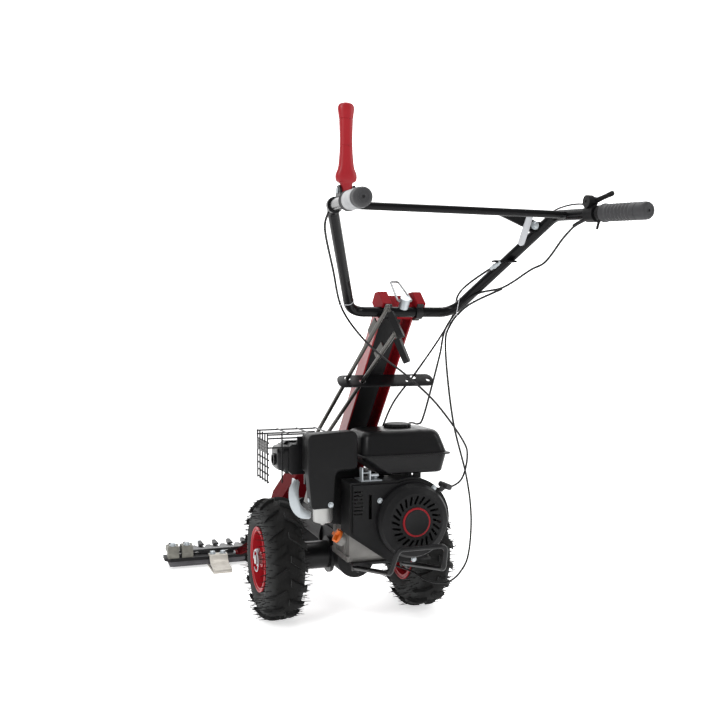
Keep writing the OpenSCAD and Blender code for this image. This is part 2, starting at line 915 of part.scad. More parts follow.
module muffler() {
  color("#1a1a1b")
    engine()
      difference() {
        union() {
          upright(muffler_back, muffler_front)
            polygon([[-282, 116], [-282, 176], [-274, 184], [-204, 184], [-196, 176], [-196, 116], [-204, 108], [-274, 108]]);
          upright(muffler_back + 44, muffler_back + 50)
            polygon([[-286, 112], [-286, 180], [-278, 188], [-200, 188], [-192, 180], [-192, 112], [-200, 104], [-278, 104]]);
          translate([-312, muffler_back + 50, 142]) rotate([0, 90, 0]) cylinder(d = 30, h = 32);
          translate([-208, muffler_back + 72, 70]) cylinder(d = 30, h = 60);
        }
        translate([-313, muffler_back + 50, 142]) rotate([0, 90, 0]) cylinder(d = 22, h = 24);
        cylinder_block(0);
      }
}

guard_x = [-337, -185];
guard_y = [muffler_back - 2.4, muffler_front + 12];
guard_z = [93, 210];

module wire_y(x, z) { translate([x, guard_y[0] - 2, z]) rotate([-90, 0, 0]) cylinder(d = guard_wire, h = guard_y[1] - guard_y[0] + 4); }
module wire_z(x, y, z0) { translate([x, y, z0 - 3]) cylinder(d = guard_wire * 0.9, h = guard_z[1] - z0 + 6); }
module wire_x(y, z, x1) { translate([guard_x[0] - 2, y, z]) rotate([0, 90, 0]) cylinder(d = guard_wire, h = x1 - guard_x[0] + 4); }

module muffler_guard() {
  lap = guard_wire * 0.6;
  color("#1b1b1c")
    engine()
      difference() {
        union() {
          for (z = [93, 111, 129, 147, 163, 190])
            wire_y(guard_x[0] + lap, z);
          for (y = [guard_y[0], guard_y[0] + 27.4, guard_y[0] + 55.4, guard_y[0] + 83.4, guard_y[1]])
            wire_z(guard_x[0], y, guard_z[0]);
          for (y = guard_y)
            for (z = [201, 210])
              wire_x(y + (y == guard_y[0] ? -lap : lap), z, guard_x[1]);
          for (x = [guard_x[0] + 52, guard_x[0] + 104, guard_x[1]])
            wire_y(x, guard_z[1] + lap);
          wire_x(guard_y[0] - lap, 178, -282);
          wire_z(-300, guard_y[0], guard_z[0]);
          block([guard_x[0] - 1.2, guard_y[0], 163], [guard_x[0] + 1.2, guard_y[1], 190]);
          block([-262, guard_y[0] - 4, 184.2], [-244, guard_y[0] + 12, 187]);
          block([-262, guard_y[0] - 4, 184.2], [-244, guard_y[0] - 1, 204]);
        }
        for (y = [guard_y[0] + 7.4 : 10 : guard_y[1] - 8])
          for (z = [169, 177, 185])
            translate([guard_x[0] - 5, y, z])
              rotate([0, 90, 0])
                cylinder(d = 4, h = 10, $fn = 12);
      }
}

module control_plate() {
  color("#c2c5c8")
    engine() {
      block([-126, shroud_back + 14, 98], [-72, crankcase_back - 10, 101]);
      block([-124, shroud_back + 16, 100], [-121, shroud_back + 34, 132]);
      block([-104, shroud_back + 16, 100], [-101, shroud_back + 30, 124]);
      translate([-122, shroud_back + 24, 118]) rotate([0, 90, 0]) cylinder(d = 3, h = 20);
      translate([-102, shroud_back + 22, 112]) rotate([0, 90, 0]) cylinder(d = 8, h = 22);
      translate([-82, shroud_back + 40, 100]) cylinder(d = 12, h = 8, $fn = 6);
    }
}

// Mast, guide plate, saddle and shift rods
module mast() {
  w = mast_w / 2;
  color("#8f1118") {
    intersection() {
      on_mast()
        difference() {
          block([-w, 0, -80], [w, mast_depth, mast_len]);
          block([-w + mast_t, -1, -90], [w - mast_t, mast_depth - mast_t, mast_len - mast_t]);
        }
      block([-w - 1, -1000, mast_foot[2] - 2], [w + 1, 400, 2000]);
    }
    block([-w - 14, 2, case_top], [w + 14, hood_back, mast_foot[2]]);
    for (s = [-1, 1])
      side(mast_t + 2, s * (w + mast_t / 2 - 1))
        polygon([
          [16, mast_foot[2] - 3], [hood_back - 6, mast_foot[2] - 3], [hood_back - 20, mast_foot[2] + 14],
          [34, mast_foot[2] + 74], [10, mast_foot[2] + 62]
        ]);
  }
}

hood_back = 118;

module mast_panel() {
  w = mast_w / 2 - mast_t - 0.2;
  color("#121213")
    on_mast() {
      block([-w, 3, 60], [w, 6, mast_len - mast_t - 0.2]);
      for (x = [-w, w - 3])
        block([x, 3, 60], [x + 3, 16, mast_len - mast_t - 0.2]);
    }
}

rod_hole = 4;

module guide_plate() {
  w = mast_w / 2;
  color("#151517")
    difference() {
      on_mast()
        difference() {
          block([-guide_w / 2 + 14, -48, guide_s], [guide_w / 2 + 14, mast_depth - 22, guide_s + guide_t]);
          block([-w - 0.2, -0.2, guide_s - 1], [w + 0.2, mast_depth, guide_s + guide_t + 1]);
          block([w + 44, -10, guide_s - 1], [guide_w / 2 + 30, mast_depth, guide_s + guide_t + 1]);
          translate([guide_w / 2 + 2, -28, guide_s - 1]) cylinder(d = 14, h = 8);
          translate([72, -30, guide_s - 1]) cylinder(d = 12, h = 8);
        }
      for (i = [0, 1])
        rod(rod_low[i], rod_top[i], rod_d + 2 * rod_hole);
      for (p = [drive_route])
        rod(p[4], p[6], cable_d + 12);
    }
}

// Bracket on the gearbox with the two sleeves in which the shift rods slide
module shift_bracket() {
  color("#7d0f15")
    difference() {
      union() {
        upright(-14, -4)
          polygon([
            [-case_half - 4.5, case_top - 55], [-case_half - 4.5, case_top - 6], [-96, case_top + 108], [-140, case_top + 122],
            [-140, case_top + 92], [-96, case_top + 10], [-84, case_top - 40]
          ]);
        block([-case_half - 12, -40, case_top - 40], [-case_half, 20, case_top - 8]);
        for (i = [0, 1])
          aim(rod_low[i], rod_top[i] - rod_low[i])
            cylinder(d = rod_d + 14, h = 44);
      }
      for (i = [0, 1])
        aim(rod_low[i], rod_top[i] - rod_low[i])
          translate([0, 0, -30])
            cylinder(d = rod_d + 2 * run_clear, h = 120);
      gearbox();
    }
}

module shift_rod(i) {
  v = unit(rod_top[i] - rod_low[i]);
  rod(rod_low[i] - v * 24, rod_top[i], rod_d);
  translate(rod_top[i]) sphere(d = rod_d + 2);
  rod(rod_top[i], rod_top[i] + grip_hang[i] * 0.94, rod_d * 0.7);
  aim(rod_top[i] - v * 62, -v)
    translate([-rod_d / 2 - 16, -2, 0])
      cube([18, 4, 44]);
}

module shift_grip(i) {
  aim(rod_top[i] + unit(grip_hang[i]) * (rod_d / 2 + 9), grip_hang[i])
    difference() {
      union() {
        translate([-7, -10, 0]) cube([14, 20, norm(grip_hang[i]) - 10]);
        translate([-7, 0, norm(grip_hang[i]) - 10]) rotate([0, 90, 0]) cylinder(r = 10, h = 14);
      }
      translate([0, 0, -1]) cylinder(d = rod_d * 0.7 + 0.1, h = norm(grip_hang[i]));
    }
}

module upper_shift_rod() { color("#c4c6c8") shift_rod(0); }
module lower_shift_rod() { color("#c4c6c8") shift_rod(1); }
module upper_shift_grip() { color("#19191b") shift_grip(0); }
module lower_shift_grip() { color("#19191b") shift_grip(1); }

lip_gap = 32;

module bar_saddle() {
  y = bar_at[1];
  z = bar_at[2];
  color("#8f1118")
    on_mast()
      difference() {
        side(2 * saddle_half)
          polygon([
            [y, mast_len], [mast_depth, mast_len], [mast_depth, z + 8], [mast_depth - 18, z + 26], [y, z + 26]
          ]);
        translate([-saddle_half - 1, y, z])
          rotate([0, 90, 0])
            cylinder(d = bar_d + 2 * run_clear, h = 2 * saddle_half + 2);
        block([-lip_gap, y - 1, z], [lip_gap, mast_depth + 1, z + 40]);
      }
}

module bar_straps() {
  y = bar_at[1];
  z = bar_at[2];
  color("#151517")
    on_mast()
      for (x = [-40, 40])
        difference() {
          union() {
            translate([x - 8, y, z]) rotate([0, 90, 0]) cylinder(d = bar_d + 10, h = 16);
            block([x - 8, y - 5, z - 23], [x + 8, y, z + 25]);
          }
          translate([x - 9, y, z]) rotate([0, 90, 0]) cylinder(d = bar_d + 2 * run_clear, h = 18);
          block([x - 9, y, z - 40], [x + 9, y + 40, z + 40]);
        }
}

// Handlebar and what rides on it
pin_dir = [0, -sin(mast_lean - 6), cos(mast_lean - 6)];
pin_d = 10;
pin_head = 24;
bail_d = 4;

module handlebar() {
  color("#161618")
    difference() {
      union() {
        bent_tube([
          flip(bar_end), flip(bar_bend), bar_axis - [bar_low_half, 0, 0], bar_axis + [bar_low_half, 0, 0],
          bar_bend, bar_end
        ], bend_r, bar_d, bar_wall);
        drive_bracket();
        cable_stop();
      }
      aim(bar_axis, pin_dir) cylinder(d = pin_d + 2 * run_clear, h = 40);
    }
}

drive_y = bar_axis[1] - 231;
drive_at = [216, drive_y, bar_axis[2] + 186];

// Point on the axis of the right riser at height z above the clamp
function riser(z) = bar_axis + [
  bar_low_half + (bar_top_half - bar_low_half) * z / bar_rise, -bar_reach * z / bar_rise, z
];

module drive_bracket() {
  p = riser(182);
  difference() {
    block([drive_at[0] - 9, drive_y - 3, drive_at[2] - 13], [p[0], drive_y + 3, drive_at[2] + 9]);
    aim(bar_axis + [bar_low_half, 0, 0], riser(bar_rise) - riser(0)) cylinder(d = bar_d - 0.4, h = 500);
    drive_pin(8 + 2 * run_clear);
  }
}

module drive_pin(d) {
  translate([drive_at[0], drive_y + 30, drive_at[2]]) rotate([90, 0, 0]) cylinder(d = d, h = 60);
}

module cable_stop() {
  p = riser(130);
  q = drive_route[0];
  difference() {
    block([q[0] - 10, p[1] - 12, q[2] + 3.4], [p[0], p[1] + 4, q[2] + 7.4]);
    aim(bar_axis + [bar_low_half, 0, 0], riser(bar_rise) - riser(0)) cylinder(d = bar_d - 0.4, h = 500);
  }
}

module crossbar() {
  y = bar_bend[1] - 48;
  f = 48 / grip_reach;
  p = bar_bend + (bar_end - bar_bend) * f;
  color("#161618")
    difference() {
      rod(flip(p), p, cross_d);
      for (s = [0, 1])
        mirror([s, 0, 0])
          aim(bar_bend, grip_dir) translate([0, 0, -60]) cylinder(d = bar_d, h = 200);
    }
}

// Grip along the handlebar leg, with a flange, finger waves and a closed end
module grip() {
  r = grip_d / 2;
  aim(bar_bend + grip_dir * (leg_len - grip_len), grip_dir)
    difference() {
      rotate_extrude()
        difference() {
          polygon([
            [0, 0], [r + 2.5, 0], [r + 2.5, 5], [r - 1, 9], [r - 1.5, 24], [r + 0.5, 34], [r - 1.5, 44], [r + 0.5, 54],
            [r - 1.5, 64], [r + 0.5, 74], [r - 1.5, 84], [r, 96], [r, grip_len - 2], [r - 4, grip_len + 5],
            [0, grip_len + 5]
          ]);
          translate([0, -1]) square([bar_d / 2 + 0.1, grip_len + 1.2]);
        }
    }
}

module left_grip() { color("#2b2b2d") mirror([1, 0, 0]) grip(); }
module right_grip() { color("#2b2b2d") grip(); }

module lock_pin() {
  color("#c7cacd")
    difference() {
      aim(bar_axis, pin_dir) {
        translate([0, 0, bar_d / 2 - 6]) cylinder(d = pin_d, h = 10);
        translate([0, 0, bar_d / 2 + 1]) cylinder(d = pin_head, h = 26);
      }
      bail_axis(bail_d + 2 * run_clear, 60);
    }
}

module bail_axis(d, w) {
  p = bar_axis + pin_dir * (bar_d / 2 + 19);
  translate(p - [w / 2, 0, 0]) rotate([0, 90, 0]) cylinder(d = d, h = w);
}

// Sprung wire loop whose ends sit in the head of the lock pin
module bail() {
  p = bar_axis + pin_dir * (bar_d / 2 + 19);
  lean = [0, 0.82, 0.57];
  color("#d9dbde")
    bent_tube([
      p - [8, 0, 0], p - [17.8, 0, 0], p + lean * 84 - [10, 0, 0], p + lean * 84 + [10, 0, 0], p + [17.8, 0, 0],
      p + [8, 0, 0]
    ], 4, bail_d);
}

clutch_at = flip(bar_bend) + [15, -44, 24];

module clutch_bracket() {
  color("#141416")
    difference() {
      union() {
        for (x = [-17, 13])
          side(4, clutch_at[0] + x + 2)
            polygon([
              [clutch_at[1] + 14, clutch_at[2] - 19], [clutch_at[1] + 14, clutch_at[2] + 2],
              [clutch_at[1] + 6, clutch_at[2] + 10], [clutch_at[1] - 6, clutch_at[2] + 10],
              [clutch_at[1] - 15, clutch_at[2] - 1], [clutch_at[1] - 15, clutch_at[2] - 19]
            ]);
        block(clutch_at + [-17, -15, -19], clutch_at + [17, 22, -13]);
        mirror([1, 0, 0])
          aim(bar_bend + grip_dir * 20, grip_dir) cylinder(d = bar_d + 8, h = 14);
      }
      mirror([1, 0, 0]) aim(bar_bend, grip_dir) cylinder(d = bar_d + 0.1, h = 120);
      translate(clutch_at - [30, 0, 0]) rotate([0, 90, 0]) cylinder(d = 8 + 5 * run_clear, h = 60);
    }
}

// Red hand lever: round foot on its pin, slim neck and swollen top
module clutch_lever() {
  h = lever_len;
  color("#c1161f")
    translate(clutch_at) {
      intersection() {
        upright(-30, 30) {
          circle(r = 11);
          polygon([
            [-11, 0], [11, 0], [12, 15], [20.4, 20], [21.5, 28], [16.8, 43], [14.4, 56], [12.3, h * 0.56],
            [15.6, h - 17], [-15.6, h - 17], [-12.3, h * 0.56], [-14.4, 56], [-16.8, 43], [-21.5, 28], [-20.4, 20],
            [-12, 15]
          ]);
          translate([0, h - 17]) circle(r = 15.8);
        }
        side(60)
          polygon([
            [-9, -6], [-5, -12], [5, -12], [9, -6], [11, 24], [10, 50], [9.4, h * 0.56], [11, h - 20], [7, h], [-7, h], [-11, h - 20],
            [-9.4, h * 0.56], [-10, 50], [-11, 24]
          ]);
      }
      translate([-16.8, 0, 0]) rotate([0, 90, 0]) cylinder(d = 8, h = 33.6);
    }
}

// Black finger lever with its pin and the zinc link that pulls the cable
module drive_lever() {
  link = [drive_at + [-14, -6, 17], drive_at + [-34, -6, -38]];
  color("#161618")
    difference() {
      union() {
        upright(drive_y - 9, drive_y - 3.4)
          polygon([
            [drive_at[0] + 8, drive_at[2] - 9], [drive_at[0] + 9, drive_at[2] + 7], [drive_at[0] - 20, drive_at[2] + 18],
            [drive_at[0] - 42, drive_at[2] + 24], [drive_at[0] - 97, drive_at[2] + 29], [drive_at[0] - 101, drive_at[2] + 25],
            [drive_at[0] - 60, drive_at[2] + 9], [drive_at[0] - 30, drive_at[2] - 3]
          ]);
        translate([drive_at[0], drive_y + 6, drive_at[2]]) rotate([90, 0, 0]) cylinder(d = 8, h = 12);
        translate([drive_at[0], drive_y - 9, drive_at[2]]) rotate([90, 0, 0]) cylinder(d = 13, h = 5, $fn = 6);
        for (p = link)
          translate([p[0], drive_y - 9, p[2]]) rotate([90, 0, 0]) cylinder(d = 14, h = 4);
        translate([0, drive_y - 9, 0])
          rotate([90, 0, 0])
            linear_extrude(4)
              polygon([
                [link[0][0] - 6.5, link[0][2] + 2], [link[0][0] + 6.5, link[0][2] - 2],
                [link[1][0] + 6.5, link[1][2] - 2], [link[1][0] - 6.5, link[1][2] + 2]
              ]);
      }
    }
}

throttle_at = 128;
throttle_pivot = bar_bend + grip_dir * throttle_at + [0, 0, 24];

// Clamp on the right leg with the round throttle housing on top
module throttle() {
  color("#18181a")
    difference() {
      union() {
        aim(bar_bend + grip_dir * (throttle_at - 14), grip_dir) cylinder(d = bar_d + 12, h = 28);
        translate(throttle_pivot - [18, 0, 0]) rotate([0, 90, 0]) cylinder(d = 26, h = 13);
        translate(throttle_pivot + [-13, -9, -18]) cube([20, 18, 18]);
      }
      aim(bar_bend, grip_dir) cylinder(d = bar_d + 0.1, h = leg_len);
      translate(throttle_pivot + [-4.7, -30, -10.6]) cube([12, 60, 60]);
      translate(throttle_pivot - [30, 0, 0]) rotate([0, 90, 0]) cylinder(d = 7 + 2 * run_clear, h = 60);
    }
}

module throttle_lever() {
  color("#18181a")
    translate(throttle_pivot) {
      translate([-4.3, 0, 0]) rotate([0, 90, 0]) cylinder(d = 20, h = 9);
      translate([-17, 0, 0]) rotate([0, 90, 0]) cylinder(d = 7, h = 20);
      rotate([-32, 0, 0]) {
        block([-4.3, -46, -6], [4.7, 0, 6]);
        translate([-4.3, -46, 0]) rotate([0, 90, 0]) cylinder(d = 12, h = 9);
      }
    }
}

module control_cables() {
  color("#121213")
    for (p = [clutch_route, wheel_route, throttle_route, drive_route])
      cable(p, cable_d);
}

// Drive neck, red cutter frame and hood
module drive_neck() {
  color("#1c1c1e")
    difference() {
      union() {
        translate([0, case_front, neck_z]) rotate([-90, 0, 0]) cylinder(d = neck_d, h = head_back - case_front + 4);
        translate([0, case_front, neck_z]) rotate([-90, 0, 0]) cylinder(d = neck_d + 30, h = 12);
        translate([0, head_back - 14, neck_z]) rotate([-90, 0, 0]) cylinder(d = neck_d + 22, h = 14);
        translate([0, swing_y, head_z]) cylinder(d = 104, h = neck_z + 40 - head_z);
        block([-52, head_back, head_z], [52, swing_y, neck_z + 40]);
        translate([0, swing_y, neck_z + 40]) cylinder(d = 84, h = 8);
      }
      translate([0, swing_y, head_z - 1]) cylinder(d = 24 + 2 * run_clear, h = 80);
    }
}

foot_x = 180;

// Slanting arm of the red frame, from the drive head down to its foot on the beam
module frame_arm() {
  v = [foot_x, beam_front + 8, ledger_z + 2] - [48, head_back + 20, neck_z - 12];
  color("#9a121a")
    difference() {
      union() {
        aim([48, head_back + 20, neck_z - 12], v)
          translate([-11, -20, 0]) cube([22, 40, norm(v)]);
        block([foot_x - 22, beam_front - 3, beam_z + beam_t], [foot_x + 22, beam_front + 30, beam_z + beam_t + 7]);
      }
      block([0, 300, 0], [52.2, 700, 400]);
      block([0, 300, -100], [400, 800, beam_z + beam_t]);
      block([0, beam_front + 31, 0], [400, 800, 400]);
    }
}

// Folded sheet over the drive neck, wide at its foot
module cutter_frame() {
  top = case_top + 42;
  low = case_top - 48;
  for (s = [0, 1])
    mirror([s, 0, 0]) frame_arm();
  color("#9a121a")
    difference() {
      union() {
        upright(hood_back, hood_back + 112)
          sheet2d([[-206, low], [-196, low + 26], [-132, top], [132, top], [196, low + 26], [206, low]], -3);
        upright(hood_back, hood_back + 3)
          polygon([[-196, low + 22], [-132, top - 1], [132, top - 1], [196, low + 22]]);
      }
      block([-mast_w / 2 - 20, hood_back - 1, low], [mast_w / 2 + 20, hood_back + 4, case_top]);
    }
}

// Cutter bar
finger_xs = [for (i = [0 : finger_n - 1]) (i - (finger_n - 1) / 2) * finger_pitch];
beam_y1 = beam_front + beam_l;
clip_xs = [-408, -362, -112, 112, 362, 408];
skid_xs = [-262, 262];

module cutter_beam() {
  color("#232326")
    difference() {
      translate([0, 0, beam_z])
        linear_extrude(beam_t)
          polygon([
            [-cut_w / 2, beam_front + 22], [-cut_w / 2 + 16, beam_front], [cut_w / 2 - 16, beam_front],
            [cut_w / 2, beam_front + 22], [cut_w / 2, beam_y1], [-cut_w / 2, beam_y1]
          ]);
    }
}

module knife_clips() {
  color("#8e8c86")
    for (x = clip_xs)
      knife_clip(x);
}

module skids() {
  color("#d8d3c6")
    for (x = skid_xs)
      skid(x);
}

// Hold-down clip: bolted behind the knife, it reaches over the knife back
module knife_clip(x) {
  z0 = beam_z + beam_t;
  z1 = back_z + back_t + 0.6;
  side(36, x)
    polygon([
      [beam_front + 4, z0], [beam_front + 32, z0], [beam_front + 36, z1], [beam_front + 78, z1], [beam_front + 80, z1 + 5],
      [beam_front + 62, z1 + 20], [beam_front + 40, z1 + 26], [beam_front + 14, z1 + 22], [beam_front + 4, z1 + 2]
    ]);
}

// Skid shoe: hooked on the beam from behind, with a flat sole on the ground
module skid(x) {
  t = skid_t;
  b = beam_front;
  side(skid_w, x)
    sheet2d([
      [b + 24, beam_z + beam_t + t], [b - t - 0.1, beam_z + beam_t + t], [b - t - 14, beam_z - 4], [b - 66, 16],
      [b - 72, 7], [b - 64, 0], [b + 84, 0], [b + 104, 6], [b + 118, beam_z - 8]
    ], t);
  block([x - 14, b + 20, t - 1], [x + 14, b + 60, beam_z]);
}

// Guard finger: a pointed foot under the knife and a lip over it
module guard_finger(x) {
  z0 = beam_z + beam_t;
  tip = tip_y;
  translate([x, 0, 0])
    intersection() {
      translate([0, 0, 0])
        linear_extrude(ledger_z + 30) {
          polygon([
            [-17, beam_front + 38], [17, beam_front + 38], [17, beam_y1 + 2], [11, beam_y1 + 14], [5, tip - 9],
            [-5, tip - 9], [-11, beam_y1 + 14], [-17, beam_y1 + 2]
          ]);
          translate([0, tip - 6]) circle(r = 6);
        }
      side(60)
        polygon([
          [beam_front + 38, z0], [beam_y1, z0], [beam_y1 + 4, z0 - 7], [beam_y1 + 56, z0 - 6], [tip, ledger_z],
          [tip, ledger_z + 6], [tip - 10, ledger_z + 13], [tip - 56, ledger_z + 10], [tip - 58, back_z + 1.4],
          [tip - 20, back_z + 1.2], [tip - 20, ledger_z], [beam_front + 38, ledger_z]
        ]);
    }
}

module guard_fingers() {
  color("#4d4e50")
    for (x = finger_xs)
      guard_finger(x);
}

section_tip = 86;

// Knife: sections under a flat back, and the slotted head that the swing lever's pin works in
module knife() {
  color("#b4b6b8") {
    for (i = [0 : finger_n - 2])
      translate([finger_xs[i] + finger_pitch / 2, knife_y, section_z])
        linear_extrude(section_t)
          polygon([
            [-finger_pitch / 2 + 0.2, 0], [finger_pitch / 2 - 0.2, 0], [finger_pitch / 2 - 0.2, 24], [6, section_tip],
            [-6, section_tip], [-finger_pitch / 2 + 0.2, 24]
          ]);
    block([finger_xs[0], knife_y, back_z], [finger_xs[finger_n - 1], knife_y + 20, back_z + back_t]);
    block([-24, knife_y - 8, back_z + back_t], [24, knife_y + 28, back_z + back_t + 2]);
    for (s = [0, 1])
      mirror([s, 0, 0])
        block([7 + slot_play, knife_y - 8, back_z + back_t], [18, knife_y + 28, back_z + back_t + 12]);
  }
}

slot_play = 0.8;

// Swing lever on its upright shaft, with the pin that works in the knife head
module swing_lever() {
  color("#77797c") {
    translate([0, swing_y, swing_z + 1]) cylinder(d = 24, h = 70);
    translate([0, swing_y, swing_z]) cylinder(d = 46, h = swing_t + 2);
    translate([0, 0, swing_z])
      linear_extrude(swing_t) {
        polygon([[-20, swing_y], [20, swing_y], [13, pin_y], [-13, pin_y]]);
        translate([0, pin_y]) circle(r = 13);
      }
    translate([0, pin_y, back_z + back_t + 3]) cylinder(d = 14, h = swing_z - back_z - back_t);
  }
}

module placed() {
  translate([0, frame_y, 0])
    children();
}

placed() gearbox();
placed() axle_tubes();
placed() left_half_axle();
placed() right_half_axle();
placed() left_rim();
placed() right_rim();
placed() left_tyre();
placed() right_tyre();
placed() left_lynch_pin();
placed() right_lynch_pin();
placed() engine_cradle();
placed() crankcase();
placed() engine_cylinder();
placed() fan_shroud();
placed() recoil_cover();
placed() recoil_ring();
placed() crankshaft();
placed() flywheel();
placed() fuel_tank();
placed() tank_brackets();
placed() fuel_cap();
placed() air_filter();
placed() carburettor();
placed() cylinder_baffle();
placed() muffler();
placed() muffler_guard();
placed() oil_cap();
placed() control_plate();
placed() starter_grip();
placed() stand();
placed() mast();
placed() mast_panel();
placed() guide_plate();
placed() shift_bracket();
placed() upper_shift_rod();
placed() lower_shift_rod();
placed() upper_shift_grip();
placed() lower_shift_grip();
placed() bar_saddle();
placed() bar_straps();
placed() handlebar();
placed() crossbar();
placed() left_grip();
placed() right_grip();
placed() lock_pin();
placed() bail();
placed() clutch_lever();
placed() clutch_bracket();
placed() drive_lever();
placed() throttle();
placed() throttle_lever();
placed() control_cables();
placed() drive_neck();
placed() cutter_frame();
placed() cutter_beam();
placed() knife_clips();
placed() skids();
placed() guard_fingers();
placed() knife();
placed() swing_lever();
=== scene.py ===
"""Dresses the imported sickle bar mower: finishes, cables, tyre whiskers, trim, studio and camera."""

import json
import math

import bmesh
import bpy
from mathutils import Matrix, Vector


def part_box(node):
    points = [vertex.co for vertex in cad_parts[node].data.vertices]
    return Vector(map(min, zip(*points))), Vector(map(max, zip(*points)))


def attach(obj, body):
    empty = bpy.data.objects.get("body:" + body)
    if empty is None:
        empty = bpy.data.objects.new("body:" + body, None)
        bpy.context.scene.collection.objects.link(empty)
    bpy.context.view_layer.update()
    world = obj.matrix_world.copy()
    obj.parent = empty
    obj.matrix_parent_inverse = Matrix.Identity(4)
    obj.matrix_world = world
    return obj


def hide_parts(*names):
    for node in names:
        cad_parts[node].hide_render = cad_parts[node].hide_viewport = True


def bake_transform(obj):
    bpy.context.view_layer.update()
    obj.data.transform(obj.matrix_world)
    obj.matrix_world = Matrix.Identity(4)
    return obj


bl_info = {
    "name": "Sickle Bar Mower",
    "version": (1, 0, 0),
    "blender": (4, 5, 0),
    "location": "View3D > Sidebar > Mower",
    "description": "Finishes, cables, whiskers and trim for the packed mower",
    "category": "Object",
}

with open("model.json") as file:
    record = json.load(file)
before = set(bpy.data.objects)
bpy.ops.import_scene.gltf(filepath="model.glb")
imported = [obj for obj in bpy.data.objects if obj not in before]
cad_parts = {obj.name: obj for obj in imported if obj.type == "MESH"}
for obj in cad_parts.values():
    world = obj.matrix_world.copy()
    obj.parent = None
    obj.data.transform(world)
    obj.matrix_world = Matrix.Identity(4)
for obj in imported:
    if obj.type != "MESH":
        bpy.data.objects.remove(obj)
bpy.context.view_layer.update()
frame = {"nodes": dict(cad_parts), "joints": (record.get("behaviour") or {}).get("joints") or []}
JOINTS = {joint["name"]: joint for joint in frame["joints"]}
AXLE = Vector(JOINTS["left_wheel_roll"]["pos_m"])

# Cable routes from the handlebar to the machine, in millimetres from the ground under the wheel axle
ROUTES = {
    "clutch_cable": [
        (-267, -700, 1023.7), (-262, -660, 994), (-214, -560, 920), (-158, -442, 844), (-122, -468, 780),
        (-52, -436, 726), (14, -410, 684), (104, -380, 613), (194, -342, 515), (223, -310, 466),
        (211, -302, 408), (178, -292, 386), (153, -258, 381), (140, -180, 383), (124, -124, 394),
        (104, -92, 402),
    ],
    "wheel_cable": [
        (176, -584, 884), (130, -504, 848), (94, -484, 802), (96, -455, 744), (141, -400, 572),
        (197, -360, 424), (225, -330, 314), (232, -300, 210), (223, -270, 157), (205, -240, 126),
        (180, -215, 118), (158, -186, 122), (142, -148, 132), (122, -96, 136), (92, -62, 140),
        (63, -38, 143),
    ],
    "throttle_cable": [
        (250, -770, 1012), (262, -700, 990), (266, -620, 945), (250, -580, 928), (205, -535, 890),
        (151.5, -488, 870.9), (107, -440, 803), (101, -410, 731), (103, -360, 656), (104.5, -298, 568),
        (106, -262, 550), (109, -200, 546), (107, -152, 520), (98, -146, 450), (90, -146, 402),
    ],
    "drive_cable": [
        (162, -592, 940), (138, -500, 902), (142, -424, 874), (148, -386, 830), (122, -350, 764),
        (92, -272, 678), (66, -190, 600), (60, -110, 515), (62, -50, 456), (65, -4, 385), (64, 2, 330),
        (62, 0, 276.3),
    ],
}

# The photograph's camera, fitted to it: place from the ground under the axle, turn, pitch and focal length
CAMERA_AT = Vector((-0.794, -2.4325, 0.798)) + Vector((0, AXLE.y, 0))
CAMERA_TURN = math.radians(18.89)
CAMERA_PITCH = math.radians(2.055)
CAMERA_LENS = 45.76

# Lights: name, place, aim, width and height in metres, and power
LIGHTS = (
    ("key", (-2.6, -2.4, 3.2), (0, -0.2, 0.6), 1.0, 2.4, 80),
    ("fill", (2.8, -2.2, 2.2), (0.1, -0.3, 0.6), 0.7, 2.0, 36),
    ("top", (0.2, 0.6, 3.6), (0, -0.2, 0.6), 1.8, 1.8, 50),
)

# Crank axis at the rear face of the recoil starter, from which the engine's pieces are placed, in metres
ENGINE = Vector((0.055, -0.378 + AXLE.y, 0.322))
FILLER_AT = ENGINE + Vector((0.007, 0.15, 0.2176))
BOWL_AT = ENGINE + Vector((-0.205, 0.114, 0))
MUFFLER_AT = ENGINE + Vector((-0.281, 0, 0))
RECOIL_AT = ENGINE + Vector((0, -0.0014, 0))

# Handlebar bend and direction of its right grip end, then where on it the grip, the clamp and its peg sit,
# in millimetres, and the peg's direction
BEND = (253.0, -679.63, 1039.81)
GRIP_DIR = (0.11283, -0.99087, -0.07405)
GRIP_AT = 161.6
CLAMP_AT = 146
PEG_AT = 151
PEG_DIR = (-0.25, 0.05, -1)

# Turned pieces, each a list of height and radius in millimetres
GRIP_FLANGE = ((0, 13), (0, 18.2), (1, 19.2), (4, 19.2), (5.5, 18.4), (8, 17), (14, 16.6))
GRIP_RIBS = [(18 + 2 * k, 16.9 + math.cos(2 * math.pi * k / 5)) for k in range(36)]
GRIP_END = (
    (94, 17.4), (99, 17.5), (99.4, 16.7), (101, 16.7), (101.4, 17.6), (117, 17.6), (121, 17.2), (124, 15.8),
    (126, 13.8), (127, 11.5), (127, 9.6), (126.2, 9.2), (126.2, 5), (127, 4.6), (127, 3), (124, 2.6),
    (124, 0.4),
)
GRIP_SLEEVE = ((24, 17.7), (24.3, 18.5), (97.7, 18.5), (98, 17.7))
LEVER_PIN = ((-19, 5), (-18.5, 6), (-17.2, 6), (-17, 4), (17, 4), (17.2, 6), (18.5, 6), (19, 5))
THUMB_HUB = ((-5, 8), (-4.6, 9.4), (-3.6, 10), (3.8, 10), (4.8, 9.4), (5.2, 8))
THUMB_PIN = ((-17, 3), (-16.4, 3.5), (2, 3.5), (3, 3))
CLAMP_COLLAR = ((0, 12), (0, 14.4), (0.8, 15), (9.2, 15), (10, 14.4), (10, 12))
CLAMP_PEG = ((10, 3.4), (18, 3.4), (18.4, 2.8), (33, 2.6), (34, 1.8))
